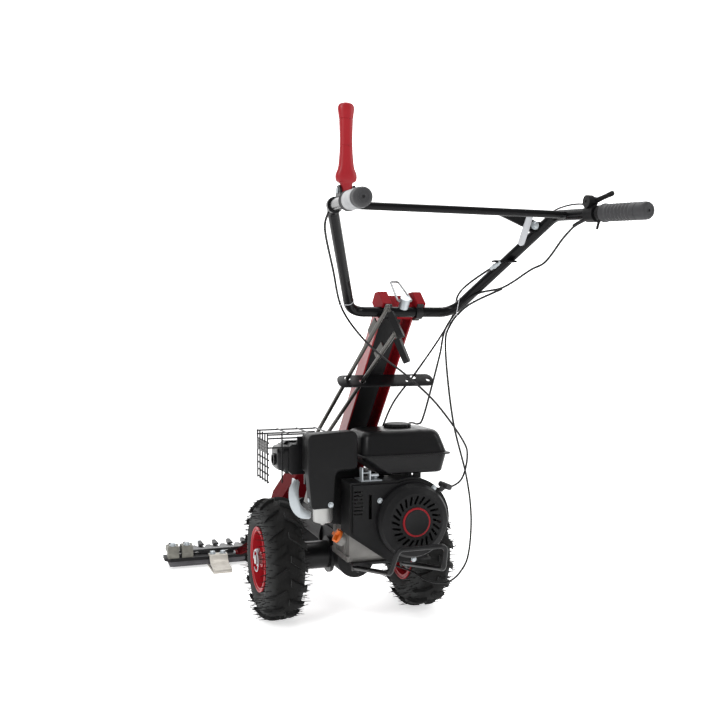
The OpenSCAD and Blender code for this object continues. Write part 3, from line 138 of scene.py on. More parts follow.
ADJUSTER = (
    (-6, 2.8), (-5.6, 3.2), (0, 3.2), (0.2, 4.6), (11, 4.6), (11.2, 5.6), (15, 5.6), (15.2, 4.2), (26, 4.2),
    (26.6, 3),
)
FLOAT_BOWL = (
    (-15, 4), (-14.6, 5.4), (-9, 5.6), (-8.8, 15), (-8, 20), (-6, 23), (-3, 24.4), (28, 24.6), (28.4, 25.8),
    (31.6, 25.8), (32, 25),
)
RECOIL_CAP = (
    (0, 26.2), (1.66, 26.2), (1.66, 31.4), (2.5, 31.2), (2.8, 30.6), (2.8, 29.6), (2.4, 29), (2.4, 0.5),
)
LYNCH_SHANK = ((0, 2.6), (1.5, 3.7), (38.6, 3.7), (39, 5.6), (40, 6.4), (46.5, 6.4), (48, 5.2))

# Filler cap rings: height, radius and depth of its lobes in millimetres
FILLER_RINGS = (
    (-2, 26, 0), (0, 26, 0), (0.4, 34, 0.2), (1.4, 35, 0.9), (7.4, 34.6, 0.9), (9, 33.4, 0.6), (10, 30, 0.2),
    (10.2, 26, 0), (9.6, 25, 0), (9.6, 4, 0),
)
FILLER_LOBES = 16

# Muffler end rings from the crank axis: height, then back, front, foot, top and corner radius in millimetres
MUFFLER_END = (
    (0, 154, 242, 112, 180, 16), (8, 154, 242, 112, 180, 16), (10, 157, 239, 115, 177, 15),
    (22, 160, 236, 118, 174, 14), (25, 164, 232, 122, 170, 12), (25.6, 170, 226, 128, 164, 9),
)

# Drive link: middles of its two ends, seen from behind, its half width, thickness, front face, and its bolt,
# in millimetres
LINK_TOP = Vector((202, 1036.8))
LINK_FOOT = Vector((182, 981.8))
LINK_HALF = 7.3
LINK_SHEET = 4.6
LINK_FRONT = -658.4
LINK_BOLT = (216, LINK_FRONT, 1019.8)

# Rubber boot on the throttle cable, in millimetres, and its diameter in metres
BOOT_D = 0.0078
THROTTLE_BOOT = ((247, -764, 1008.5), (251, -772, 1013), (258, -786, 1019), (264, -799, 1024))

# Lynch pins: distance of the shank from the middle and its foot, then the ring's distance, height and radius
# in millimetres, its wire's diameter in metres and its sweep in degrees
LYNCH_X = 256
LYNCH_FOOT = 146.5
RING_X = 261.2
RING_Z = 162
RING_R = 28.6
RING_D = 0.0034
RING_SWEEP = 310

# Clutch lever: height over its pin, half width, half depth in millimetres, and how square its section is
LEVER_SHAPE = (
    (-11, 5, 4, 2), (-9, 9, 7, 2.4), (-4, 11.4, 8.6, 2.6), (12, 12, 9, 2.8), (15, 13, 9.6, 2.8),
    (17.5, 18, 10.4, 2.8), (20, 20.4, 11, 2.8), (26, 21.5, 11.4, 2.8), (32, 21, 11.4, 2.8),
    (37, 19, 11, 2.8), (42, 16.8, 10.6, 2.8), (48, 15.4, 10.2, 2.8), (56, 14.4, 10, 2.8),
    (74, 12.9, 9.6, 2.8), (86, 12.5, 9.5, 2.8), (86.5, 11.9, 9, 2.8), (87.5, 11.9, 9, 2.8),
    (88, 12.5, 9.5, 2.8), (98, 12.2, 9.4, 2.8), (115, 12.6, 9.8, 2.8), (138, 13.6, 10.5, 2.6),
    (138.5, 12.9, 9.9, 2.6), (139.5, 12.9, 9.9, 2.6), (140, 14, 10.5, 2.6), (150, 15.4, 11, 2.4),
    (158, 16.6, 11.2, 2.3), (163, 16.2, 10.8, 2.2), (167, 14, 9.6, 2.1), (169.3, 10.4, 7.4, 2),
    (170.6, 5.6, 4.2, 2),
)

# Throttle thumb lever: its direction, then distance from its pivot, half thickness and half height in
# millimetres, and squareness
THUMB_DIR = (15, -44, 12)
THUMB_SHAPE = (
    (0, 4.4, 6.4, 3), (8, 4.4, 5.6, 3), (20, 4.3, 4.7, 3), (36, 4.4, 4.5, 3), (44, 4.6, 5.2, 2.8),
    (48, 4.4, 5.4, 2.6), (50.4, 3.4, 4, 2.3), (51.4, 1.6, 2, 2),
)

# Thin wire from the throttle along the handlebar, in millimetres, and its diameter in metres
STOP_WIRE_D = 0.0036
STOP_WIRE = (
    (261, -801, 1046), (259, -776, 1053), (256, -740, 1056), (252, -704, 1054), (247, -684, 1049),
    (240, -668, 1040),
)

# Fuel tank rings from the crank axis: height, left, right, back, front and corner radius in millimetres
TANK_BOWL = (
    (110, -60, 89, 66, 190, 16), (111, -66, 95, 60, 196, 20), (114, -72, 98.5, 56.5, 199.5, 22),
    (126, -88, 101, 54.5, 201.5, 22), (142, -106, 104.6, 52, 204, 22),
    (154, -119.6, 107.2, 50.2, 205.8, 22), (158, -120.6, 107.4, 50, 206, 22),
)
TANK_SEAM = (
    (157, -126.6, 113.4, 44, 212, 15), (157.6, -127.6, 114.4, 43, 213, 16),
    (160.4, -127.6, 114.4, 43, 213, 16), (161, -126.6, 113.4, 44, 212, 15),
)
TANK_DOME = (
    (160, -120.6, 107.4, 50, 206, 22), (163, -120.6, 107.4, 50, 206, 22), (180, -118.8, 101.8, 54, 203, 22),
    (196, -116.9, 96.2, 58.2, 200.2, 22), (204, -115.8, 93, 60.6, 198.6, 22),
    (209, -113.4, 90.2, 63.4, 196.2, 21), (213, -109.6, 86.4, 67.2, 192.6, 20),
    (216, -105, 81.6, 72, 188, 19), (217.6, -99, 75.6, 78, 182, 17), (218, -92, 68.6, 85, 175, 15),
)

# Whisker rings on each side of a tyre, as shares of its radius
HAIR_RINGS = (0.7, 0.79, 0.87, 0.93, 0.97)

# Bolt heads on the engine's rear covers, from the crank axis in millimetres
COVER_BOLTS = ((-83, 33, 52), (6, 33, -99), (60, 33, 76))
FILTER_BOLTS = (((-198.7, 66.2, 43), (0, -1, 0)), ((-245.4, 86, 54), (-1, 0, 0)))

# Mast foot in millimetres and the mast's lean from upright
MAST_FOOT = (0, 42, 336)
MAST_LEAN = math.radians(41.3)

# Cylinder baffle from the crank axis: corners of its face and skirt, each x, z and a radius in millimetres
BAFFLE_FACE = (
    (-261, 89, 5), (-273, 70, 8), (-275, 48, 10), (-271, 22, 10), (-260, 2, 10), (-245, -10, 10),
    (-222, -13, 4), (-217, -9, 3), (-217, 6, 3), (-232, 12, 8), (-245, 28, 8), (-249, 46, 8), (-249, 89, 3),
)
BAFFLE_SKIRT = (
    (-250, 84, 1), (-254, 48, 8), (-247, 15, 10), (-233, 4, 8), (-217, 1, 1), (-217, 4, 1), (-231, 7, 8),
    (-243, 17, 8), (-250, 48, 8), (-246, 84, 1),
)

# Air filter from the crank axis: corners of its rear shell and of its front half
FILTER_SHELL = (
    (-246, 33, 9), (-190, 34, 9), (-185, 118, 10), (-173, 126, 8), (-134, 127, 8), (-128.6, 134, 6),
    (-128.6, 222, 20), (-254.5, 216, 16), (-254.5, 120, 10),
)
FILTER_FRONT = ((-252, 118, 8), (-131, 118, 8), (-131, 217, 16), (-252, 213, 14))

# Sheet between the fan shroud and the cylinder, from the crank axis
SHROUD_WING = (
    (-186, 118, 4), (-100, 118, 4), (-80, 60, 2), (-80, -56, 2), (-126, -28, 8), (-170, -22, 8),
    (-186, -12, 8),
)

# Engine sheets: name, corners, thickness in millimetres, depth in metres, edge radius, its steps and node
ENGINE_SHEETS = (
    ("baffle_face", BAFFLE_FACE, 4, 0.1824, 0.6, 2, "cylinder_baffle"),
    ("baffle_skirt", BAFFLE_SKIRT, 60, 0.241, 0, 2, "cylinder_baffle"),
    ("filter_shell", FILTER_SHELL, 37.5, 0.1035, 6, 4, "air_filter"),
    ("filter_front", FILTER_FRONT, 42, 0.1398, 2, 2, "air_filter"),
    ("shroud_wing", SHROUD_WING, 3, 0.1494, 0.6, 2, None),
)

# Mast panel: its thickness and corners in millimetres on the mast, and its depth in metres
COVER_SHEET = 3
COVER_DEPTH = 0.006
MAST_COVER = ((-38.6, 62), (14, 62), (14, 650), (-38.6, 650))

# Shift rod guide across the mast: height on it, thickness, corners and holes, in millimetres on the mast
GUIDE_Z = 452
GUIDE_SHEET = 4
GUIDE_STRIP = ((-114, -41, 19), (142, -41, 19), (142, -0.6, 19), (-114, -0.6, 19))
GUIDE_HOLES = ((-86.1, -10.9, 8), (-49.7, -22.6, 8), (90, -10.5, 8), (128, -22, 5.5), (70, -24, 4.5))

# Hood wings: where they begin beside the middle and end ahead of the axle, and the share of reach they keep
HOOD_ROOT = 75
HOOD_FRONT = 232
HOOD_SHARE = 0.69

# Rear edge of the cutter beam ahead of the axle, and the corners of its lower lip, x and z, in millimetres
BEAM = 580
BEAM_LIP = ((-427, 28.2), (-419, 9), (-405, 8), (405, 8), (419, 9), (427, 28.2))

# Guard fingers: how many, their spacing, and half the width that the cutter frame covers, in millimetres
FINGERS = 17
FINGER_PITCH = 50
FRAME_HALF = 150

# Tops that carry the cutter bar's bolts: y from the beam's rear edge, and z, in millimetres
CLIP_TOP = (26, 76.6)
FINGER_TOP = (20, 37.6)
SHOE_TOP = (11, 42.8)

# Skid shoes: middles, thickness, width, and the path from hook to nose: y from the beam, z and bend radius
SHOES = (-262, 262)
SHOE_SHEET = 5
SHOE_WIDTH = 60
SHOE_PATH = (
    (24, 43, 0), (-5.1, 43, 4), (-20, 21, 16), (-62, 17, 14), (-86, 14, 8), (-88, 0, 8), (84, 0, 16),
    (104, 6, 10), (118, 20, 0),
)

# Cable ties: run of a handlebar leg up to its bend, distance of a tie from the middle in millimetres,
# its share of the leg below the bend, and the leg's radius and the tie's thickness in metres
LEG_RUN = (124, -261, 206)
TIE_X = 144
TIE_SHARE = 0.88
LEG_R = 0.0124
TIE_D = 0.0016

# Edge radius of the saddle, and what the bail's wire gains in radius, in metres
SADDLE_EDGE = 0.004
BAIL_GAIN = 0.0005

# Middles of the knife clips along the cutter bar, in millimetres
CLIPS = (-408, -362, -112, 112, 362, 408)


def length_setting(name, description, default):
    """Property for a length in metres."""
    return bpy.props.FloatProperty(name=name, description=description, default=default, unit="LENGTH")


def colour_setting(name, description, default):
    """Property for a colour."""
    return bpy.props.FloatVectorProperty(name=name, description=description, default=default, subtype="COLOR")


class MowerSizes(bpy.types.PropertyGroup):
    """Sizes of the pieces that the scene adds."""

    cable_d: length_setting("Cable diameter", "Outer diameter of a control cable", 0.005)
    hair_len: length_setting("Whisker length", "Length of the longest whiskers on the tyres", 0.024)
    hair_d: length_setting("Whisker diameter", "Thickness of a whisker at its root", 0.0024)
    hair_rows: bpy.props.IntProperty(
        name="Whisker rows", description="Rows of whiskers round each tyre", default=46
    )
    bolt_d: length_setting("Bolt head", "Width of a small bolt head", 0.011)


class MowerColours(bpy.types.PropertyGroup):
    """Base colours of the finishes."""

    red: colour_setting("Red paint", "Paint of the mast", (0.22, 0.004, 0.008))
    lever_red: colour_setting("Lever red", "Plastic of the clutch lever", (0.27, 0.0045, 0.010))
    black: colour_setting("Black", "Coated steel", (0.004, 0.004, 0.0045))
    plastic: colour_setting("Black plastic", "Engine covers", (0.005, 0.005, 0.0054))
    zinc: colour_setting("Zinc", "Plated steel", (0.40, 0.43, 0.45))


def sizes():
    """The sizes in use."""
    return bpy.context.scene.mower_sizes


def colours():
    """The colours in use."""
    return bpy.context.scene.mower_colours


# Materials


def fill(node, values):
    """Sets a node's inputs by name."""
    for socket, value in values.items():
        node.inputs[socket].default_value = value


def finish_group():
    """Node group shared by every finish: mottled colour and roughness, and the height of a fine grain."""
    group = bpy.data.node_groups.get("Finish")
    if group:
        return group
    group = bpy.data.node_groups.new("Finish", "ShaderNodeTree")
    face = group.interface
    for name, kind, default in (
        ("Colour", "NodeSocketColor", (0.5, 0.5, 0.5, 1)),
        ("Second Colour", "NodeSocketColor", (0.5, 0.5, 0.5, 1)),
        ("Roughness", "NodeSocketFloat", 0.5),
        ("Mottle", "NodeSocketFloat", 0.1),
        ("Mottle Scale", "NodeSocketFloat", 12.0),
        ("Grain Scale", "NodeSocketFloat", 900.0),
    ):
        face.new_socket(name=name, in_out="INPUT", socket_type=kind).default_value = default
    face.new_socket(name="Colour", in_out="OUTPUT", socket_type="NodeSocketColor")
    face.new_socket(name="Roughness", in_out="OUTPUT", socket_type="NodeSocketFloat")
    face.new_socket(name="Height", in_out="OUTPUT", socket_type="NodeSocketFloat")
    new, link = group.nodes.new, group.links.new
    entry, leave = new("NodeGroupInput"), new("NodeGroupOutput")
    place = new("ShaderNodeTexCoord")
    broad, fine = new("ShaderNodeTexNoise"), new("ShaderNodeTexNoise")
    fill(broad, {"Detail": 5})
    fill(fine, {"Detail": 2})
    link(place.outputs["Object"], broad.inputs["Vector"])
    link(place.outputs["Object"], fine.inputs["Vector"])
    link(entry.outputs["Mottle Scale"], broad.inputs["Scale"])
    link(entry.outputs["Grain Scale"], fine.inputs["Scale"])
    spread = new("ShaderNodeMapRange")
    fill(spread, {"From Min": 0.35, "From Max": 0.65})
    link(broad.outputs["Fac"], spread.inputs["Value"])
    share = new("ShaderNodeMath")
    share.operation = "MULTIPLY"
    link(spread.outputs["Result"], share.inputs[0])
    link(entry.outputs["Mottle"], share.inputs[1])
    mix = new("ShaderNodeMix")
    mix.data_type = "RGBA"
    link(share.outputs[0], mix.inputs["Factor"])
    link(entry.outputs["Colour"], mix.inputs["A"])
    link(entry.outputs["Second Colour"], mix.inputs["B"])
    link(mix.outputs["Result"], leave.inputs["Colour"])
    rough = new("ShaderNodeMath")
    rough.operation = "MULTIPLY_ADD"
    rough.use_clamp = True
    rough.inputs[1].default_value = 0.25
    link(share.outputs[0], rough.inputs[0])
    link(entry.outputs["Roughness"], rough.inputs[2])
    link(rough.outputs[0], leave.inputs["Roughness"])
    link(fine.outputs["Fac"], leave.inputs["Height"])
    return group


def finish(name, colour, roughness, metal=0.0, second=None, mottle=0.15, mottle_scale=12.0, grain=0.0,
           grain_scale=900.0, coat=0.0, specular=0.5):
    """Material with the shared finish group and its own values."""
    old = bpy.data.materials.get(name)
    if old:
        return old
    material = bpy.data.materials.new(name)
    material.use_nodes = True
    tree = material.node_tree
    shader = tree.nodes["Principled BSDF"]
    group = tree.nodes.new("ShaderNodeGroup")
    group.node_tree = finish_group()
    fill(group, {
        "Colour": (*colour, 1), "Second Colour": (*(second or colour), 1), "Roughness": roughness,
        "Mottle": mottle, "Mottle Scale": mottle_scale, "Grain Scale": grain_scale,
    })
    tree.links.new(group.outputs["Colour"], shader.inputs["Base Color"])
    tree.links.new(group.outputs["Roughness"], shader.inputs["Roughness"])
    fill(shader, {
        "Metallic": metal, "Coat Weight": coat, "Coat Roughness": 0.12, "Specular IOR Level": specular,
    })
    if grain > 0:
        bump = tree.nodes.new("ShaderNodeBump")
        fill(bump, {"Strength": grain, "Distance": 0.0006})
        tree.links.new(group.outputs["Height"], bump.inputs["Height"])
        tree.links.new(bump.outputs["Normal"], shader.inputs["Normal"])
    material.diffuse_color = (*colour, 1)
    return material


def red_paint():
    """Gloss red paint."""
    return finish("Red paint", colours().red, 0.36, second=(0.17, 0.003, 0.007), coat=0.35, specular=0.3)


def lever_plastic():
    """Gloss red plastic."""
    return finish("Lever red", colours().lever_red, 0.4, mottle=0.05, specular=0.35)


def black_coat():
    """Satin black coating on steel."""
    return finish("Black coating", colours().black, 0.3, grain=0.03, grain_scale=500, specular=0.24)


def cast_black():
    """Black coated casting."""
    return finish("Black casting", (0.007, 0.007, 0.0075), 0.55, grain=0.3, grain_scale=420, specular=0.22)


def black_plastic():
    """Grained black plastic."""
    return finish("Black plastic", colours().plastic, 0.46, grain=0.1, grain_scale=1400, specular=0.15)


def gloss_black():
    """Pressed tank in gloss black."""
    return finish("Gloss black", (0.005, 0.005, 0.0054), 0.3, mottle=0.05, specular=0.17)


def cast_grey():
    """Bare cast alloy."""
    return finish("Grey casting", (0.22, 0.215, 0.205), 0.42, metal=0.7, second=(0.11, 0.105, 0.10),
                  mottle=0.5, grain=0.35, grain_scale=380)


def cast_alloy():
    """Pale die-cast alloy."""
    return finish("Pale casting", (0.42, 0.42, 0.41), 0.4, metal=0.7, second=(0.30, 0.30, 0.29), mottle=0.4,
                  grain=0.2)


def bright_steel():
    """Polished or turned steel."""
    return finish("Bright steel", (0.50, 0.50, 0.49), 0.27, metal=1.0, second=(0.32, 0.31, 0.30), mottle=0.3)


def zinc_plate():
    """Zinc plated sheet with a pale bloom."""
    return finish("Zinc plate", colours().zinc, 0.38, metal=0.8, second=(0.52, 0.56, 0.58), mottle=0.5,
                  mottle_scale=60)


def galvanised():
    """Creamy galvanised sheet of the skid shoes."""
    return finish("Galvanised sheet", (0.50, 0.475, 0.43), 0.42, metal=0.5, second=(0.36, 0.335, 0.30),
                  mottle=0.5, mottle_scale=45, grain=0.1)


def chrome_wire():
    """Chromed wire."""
    return finish("Chrome wire", (0.22, 0.225, 0.23), 0.38, metal=0.8, mottle=0.05)


def tyre_rubber():
    """Dull black tyre rubber, with a painted highlight that makes the faces that look sideways paler."""
    if bpy.data.materials.get("Tyre rubber"):
        return bpy.data.materials["Tyre rubber"]
    rubber = finish("Tyre rubber", (0.006, 0.006, 0.006), 0.72, second=(0.012, 0.0117, 0.0113), mottle=0.6,
                    mottle_scale=30, grain=0.25, grain_scale=700, specular=0.15)
    new, link = rubber.node_tree.nodes.new, rubber.node_tree.links.new
    shader = rubber.node_tree.nodes["Principled BSDF"]
    plain = shader.inputs["Base Color"].links[0].from_socket
    # Painted highlight: faces whose normal points sideways are mixed towards a paler grey
    place, split, size = new("ShaderNodeTexCoord"), new("ShaderNodeSeparateXYZ"), new("ShaderNodeMath")
    size.operation = "ABSOLUTE"
    share, mix = new("ShaderNodeMapRange"), new("ShaderNodeMix")
    fill(share, {"From Min": 0.3, "From Max": 1.0, "To Max": 0.8})
    mix.data_type = "RGBA"
    fill(mix, {"B": (0.05, 0.0515, 0.0515, 1)})
    link(place.outputs["Normal"], split.inputs["Vector"])
    link(split.outputs["X"], size.inputs[0])
    link(size.outputs[0], share.inputs["Value"])
    link(share.outputs["Result"], mix.inputs["Factor"])
    link(plain, mix.inputs["A"])
    link(mix.outputs["Result"], shader.inputs["Base Color"])
    return rubber


def grip_rubber():
    """Dark grey grip rubber."""
    return finish("Grip rubber", (0.030, 0.030, 0.032), 0.6, grain=0.2, grain_scale=1200, specular=0.35)


def cable_sheath():
    """Smooth black cable sheath."""
    return finish("Cable sheath", (0.004, 0.004, 0.0045), 0.4, mottle=0.05, specular=0.25)


def clip_iron():
    """Grey-olive cast clips."""
    return finish("Clip iron", (0.20, 0.195, 0.17), 0.48, metal=0.6, second=(0.10, 0.098, 0.085), mottle=0.5,
                  mottle_scale=50, grain=0.4, grain_scale=300)


def dark_iron():
    """Forged fingers."""
    return finish("Dark iron", (0.016, 0.016, 0.0175), 0.45, metal=0.5, second=(0.035, 0.035, 0.037),
                  mottle=0.5, grain=0.3, grain_scale=350)


def beam_black_sheen():
    """Cutter beam, black with a faint purple-grey tint painted in as its sheen."""
    return finish("Beam black sheen", (0.006, 0.0055, 0.0065), 0.45, second=(0.004, 0.004, 0.0045), mottle=0.5,
                  specular=0.2)


def knife_steel():
    """Dark rolled knife steel, mottled with paler patches."""
    return finish("Knife steel", (0.05, 0.05, 0.052), 0.36, metal=0.8, second=(0.14, 0.14, 0.14), mottle=0.5,
                  mottle_scale=30)


def rod_steel():
    """Drawn steel rod."""
    return finish("Rod steel", (0.11, 0.106, 0.10), 0.26, metal=1.0, second=(0.07, 0.068, 0.062), mottle=0.4,
                  mottle_scale=20)


def lip_steel_highlight():
    """Grey steel of the lip under the cutter beam, its pale purple-grey partly a painted highlight."""
    return finish("Lip steel highlight", (0.10, 0.098, 0.105), 0.42, metal=0.7, second=(0.05, 0.048, 0.052), mottle=0.5)


def rim_red():
    """Brighter red of the wheel rims."""
    return finish("Rim red", (0.32, 0.006, 0.012), 0.42, second=(0.26, 0.005, 0.010), coat=0.1, specular=0.25)


def frame_red():
    """Darker red of the cutter frame and the shift bracket."""
    return finish("Frame red", (0.09, 0.0022, 0.0045), 0.65, second=(0.06, 0.0018, 0.0035), specular=0.04)


def saddle_red():
    """Dull red of the saddle."""
    return finish("Saddle red", (0.19, 0.004, 0.008), 0.6, second=(0.15, 0.0035, 0.007), specular=0.06)


def tube_black():
    """Gloss black of the handlebar's tubes."""
    return finish("Tube black", colours().black, 0.16, grain=0.02, grain_scale=500, specular=0.13)


def ring_red():
    """Red trim ring."""
    return finish("Ring red", (0.20, 0.004, 0.008), 0.5, mottle=0.05, specular=0.2)


def orange_plastic():
    """Orange filler cap."""
    return finish("Orange plastic", (0.62, 0.13, 0.012), 0.4, mottle=0.1)


def grip_band():
    """Grey foil round the left grip."""
    return finish("Grip band", (0.24, 0.245, 0.255), 0.34, metal=0.5, second=(0.17, 0.175, 0.18), mottle=0.4,
                  mottle_scale=70)


def pale_sleeve():
    """Pale grey plastic sleeve."""
    return finish("Pale sleeve", (0.46, 0.47, 0.49), 0.4, mottle=0.1)


NODE_FINISHES = {
    red_paint: ("mast",),
    rim_red: ("left_rim", "right_rim"),
    frame_red: ("shift_bracket", "cutter_frame"),
    saddle_red: ("bar_saddle",),
    ring_red: ("recoil_ring",),
    lever_plastic: ("clutch_lever",),
    black_coat: (
        "axle_tubes", "engine_cradle", "tank_brackets", "muffler", "muffler_guard", "stand", "guide_plate",
        "bar_straps", "clutch_bracket", "drive_lever",
    ),
    tube_black: ("handlebar", "crossbar"),
    cast_black: ("gearbox", "drive_neck"),
    black_plastic: (
        "fan_shroud", "recoil_cover", "fuel_cap", "air_filter", "mast_panel", "upper_shift_grip",
        "lower_shift_grip", "throttle", "throttle_lever",
    ),
    gloss_black: ("fuel_tank",),
    cast_grey: ("crankcase", "engine_cylinder"),
    cast_alloy: ("carburettor",),
    bright_steel: ("left_half_axle", "right_half_axle", "crankshaft", "swing_lever"),
    rod_steel: ("upper_shift_rod", "lower_shift_rod"),
    knife_steel: ("knife",),
    zinc_plate: ("left_lynch_pin", "right_lynch_pin", "cylinder_baffle", "control_plate", "lock_pin"),
    galvanised: ("skids",),
    chrome_wire: ("bail",),
    tyre_rubber: ("left_tyre", "right_tyre"),
    grip_rubber: ("left_grip", "right_grip", "starter_grip"),
    cable_sheath: ("control_cables",),
    clip_iron: ("knife_clips",),
    dark_iron: ("guard_fingers", "flywheel"),
    beam_black_sheen: ("cutter_beam",),
    orange_plastic: ("oil_cap",),
}


def paint(piece, material):
    """Gives a piece one material."""
    piece.data.materials.clear()
    piece.data.materials.append(material)


# Modelling helpers


def deselect():
    """Leaves edit mode and selects nothing."""
    if bpy.context.object and bpy.context.object.mode != "OBJECT":
        bpy.ops.object.mode_set(mode="OBJECT")
    bpy.ops.object.select_all(action="DESELECT")


def pick(*pieces):
    """Selects these objects and makes the first one active."""
    deselect()
    for piece in pieces:
        piece.select_set(True)
    bpy.context.view_layer.objects.active = pieces[0]


def edit_all(piece):
    """Opens a piece for editing with all of it selected."""
    pick(piece)
    bpy.ops.object.mode_set(mode="EDIT")
    bpy.ops.mesh.select_all(action="SELECT")


def apply(piece, modifier):
    """Makes a modifier's result the piece's own mesh."""
    pick(piece)
    bpy.ops.object.modifier_apply(modifier=modifier.name)


def disc(count):
    """A small flat disc with this many corners."""
    deselect()
    bpy.ops.mesh.primitive_circle_add(vertices=count, radius=0.001, fill_type="NGON")
    return bpy.context.object


def settle(piece, name):
    """Puts the piece's place into its mesh, points its faces outwards and names it."""
    pick(piece)
    bpy.ops.object.transform_apply(location=True, rotation=True, scale=True)
    edit_all(piece)
    bpy.ops.mesh.remove_doubles(threshold=1e-6)
    bpy.ops.mesh.normals_make_consistent(inside=False)
    bpy.ops.object.mode_set(mode="OBJECT")
    bpy.ops.object.shade_smooth_by_angle(angle=math.radians(35))
    piece.name = name
    piece.data.name = name
    return piece


def joined(pieces, name):
    """Joins the pieces into one and settles it."""
    pick(*pieces)
    bpy.ops.object.join()
    return settle(bpy.context.object, name)


def copy_at(piece, matrix):
    """A copy of the piece with its own mesh, moved by the matrix."""
    twin = bpy.data.objects.new(piece.name, piece.data.copy())
    bpy.context.scene.collection.objects.link(twin)
    twin.matrix_world = matrix @ piece.matrix_world
    return twin


def aimed(place, direction):
    """Matrix that carries +Z to the direction, at the place."""
    turn = Vector((0, 0, 1)).rotation_difference(Vector(direction)).to_matrix().to_4x4()
    return Matrix.Translation(Vector(place)) @ turn


def axle_frame(point):
    """A point in millimetres from the ground under the axle, in the row frame."""
    return Vector((point[0], point[1], point[2])) / 1000 + Vector((0, AXLE.y, 0))


def on_grip(distance):
    """Point on the right grip end's axis, this far behind the handlebar's bend, in millimetres."""
    return [BEND[i] + GRIP_DIR[i] * distance for i in range(3)]


def smooth_route(points, steps):
    """Catmull-Rom curve through the points, with that many steps for each stretch."""
    route = []
    last = len(points) - 1
    for i in range(last):
        a, b, c, d = points[max(i - 1, 0)], points[i], points[i + 1], points[min(i + 2, last)]
        for k in range(steps):
            t = k / steps
            square, cube = 2 * a - 5 * b + 4 * c - d, 3 * b - a - 3 * c + d
            route.append(0.5 * (2 * b + (c - a) * t + square * t**2 + cube * t**3))
    route.append(points[last])
    return route


def tube(name, points, diameter, sides=3):
    """Round tube along the points, as a mesh with closed ends."""
    curve = bpy.data.curves.new(name, "CURVE")
    curve.dimensions = "3D"
    curve.bevel_depth = diameter / 2
    curve.bevel_resolution = sides
    curve.use_fill_caps = True
    spline = curve.splines.new("POLY")
    spline.points.add(len(points) - 1)
    for target, point in zip(spline.points, points):
        target.co = (*point, 1)
    piece = bpy.data.objects.new(name, curve)
    bpy.context.scene.collection.objects.link(piece)
    pick(piece)
    bpy.ops.object.convert(target="MESH")
    return settle(bpy.context.object, name)


def oval(half_x, half_y, power, count):
    """Points of an oval; a power of 2 is an ellipse, and a higher one is squarer."""
    points = []
    for k in range(count):
        angle = 2 * math.pi * (k + 0.5) / count
        c, s = math.cos(angle), math.sin(angle)
        x = math.copysign(abs(c) ** (2 / power), c) * half_x
        y = math.copysign(abs(s) ** (2 / power), s) * half_y
        points.append((x, y))
    return points


def lobed(radius, wave, lobes, count):
    """Points of a circle with waves along its rim."""
    points = []
    for k in range(count):
        angle = 2 * math.pi * (k + 0.5) / count
        r = radius + wave * math.cos(lobes * angle)
        points.append((r * math.cos(angle), r * math.sin(angle)))
    return points


def rounded(x0, x1, y0, y1, corner, count=96):
    """Points of a rectangle with round corners."""
    points = []
    steps = count // 4
    left, right, foot, top = x0 + corner, x1 - corner, y0 + corner, y1 - corner
    for quarter, (x, y) in enumerate(((right, top), (left, top), (left, foot), (right, foot))):
        for k in range(steps):
            angle = math.pi / 2 * (quarter + k / (steps - 1))
            points.append((x + corner * math.cos(angle), y + corner * math.sin(angle)))
    return points


def bend(before, corner, after):
    """Points that round off a corner, given as x, y and a radius, between its neighbours."""
    here = Vector(corner[:2])
    ends = []
    for other in (before, after):
        way = Vector(other[:2]) - here
        ends.append(here + way.normalized() * min(corner[2], way.length * 0.48))
    shares = [k / 6 for k in range(7)]
    return [ends[0] * (1 - t) ** 2 + here * 2 * t * (1 - t) + ends[1] * t**2 for t in shares]


def cornered(corners):
    """Points of a polygon whose corners, each x, y and a radius, are rounded off."""
    points = []
    for i, corner in enumerate(corners):
        points += bend(corners[i - 1], corner, corners[(i + 1) % len(corners)])
    return [tuple(p) for p in points]


def strip(corners, thickness):
    """Outline of a bent sheet: a path of x, y and bend radius, and the same path set in on its left."""
    path = [Vector(corners[0][:2])]
    for before, corner, after in zip(corners, corners[1:], corners[2:]):
        path += bend(before, corner, after)
    path.append(Vector(corners[-1][:2]))
    inner = []
    for i, point in enumerate(path):
        way = (path[min(i + 1, len(path) - 1)] - path[max(i - 1, 0)]).normalized()
        inner.append(point + Vector((-way.y, way.x)) * thickness)
    return [tuple(p) for p in path + inner[::-1]]


def round_middle(points, middle):
    """The points in the order of their angle round the middle."""
    return sorted(points, key=lambda p: math.atan2(p[1] - middle[1], p[0] - middle[0]))


def loft(name, rings):
    """Closed skin through rings, each a height and the points of its outline, in millimetres."""
    count = len(rings[0][1])
    piece = disc(count)
    edit_all(piece)
    middle = (0.0, 0.0)
    for i, (z, points) in enumerate(rings):
        if i:
            bpy.ops.mesh.extrude_region_move()
        mesh = bmesh.from_edit_mesh(piece.data)
        loose = [v for v in mesh.verts if v.select]
        loose.sort(key=lambda v: math.atan2(v.co.y - middle[1], v.co.x - middle[0]))
        centre = (sum(p[0] for p in points) / count, sum(p[1] for p in points) / count)
        for vertex, (x, y) in zip(loose, round_middle(points, centre)):
            vertex.co = (x / 1000, y / 1000, z / 1000)
        middle = (centre[0] / 1000, centre[1] / 1000)
        bmesh.update_edit_mesh(piece.data)
    bpy.ops.object.mode_set(mode="OBJECT")
    piece.name = name
    return piece


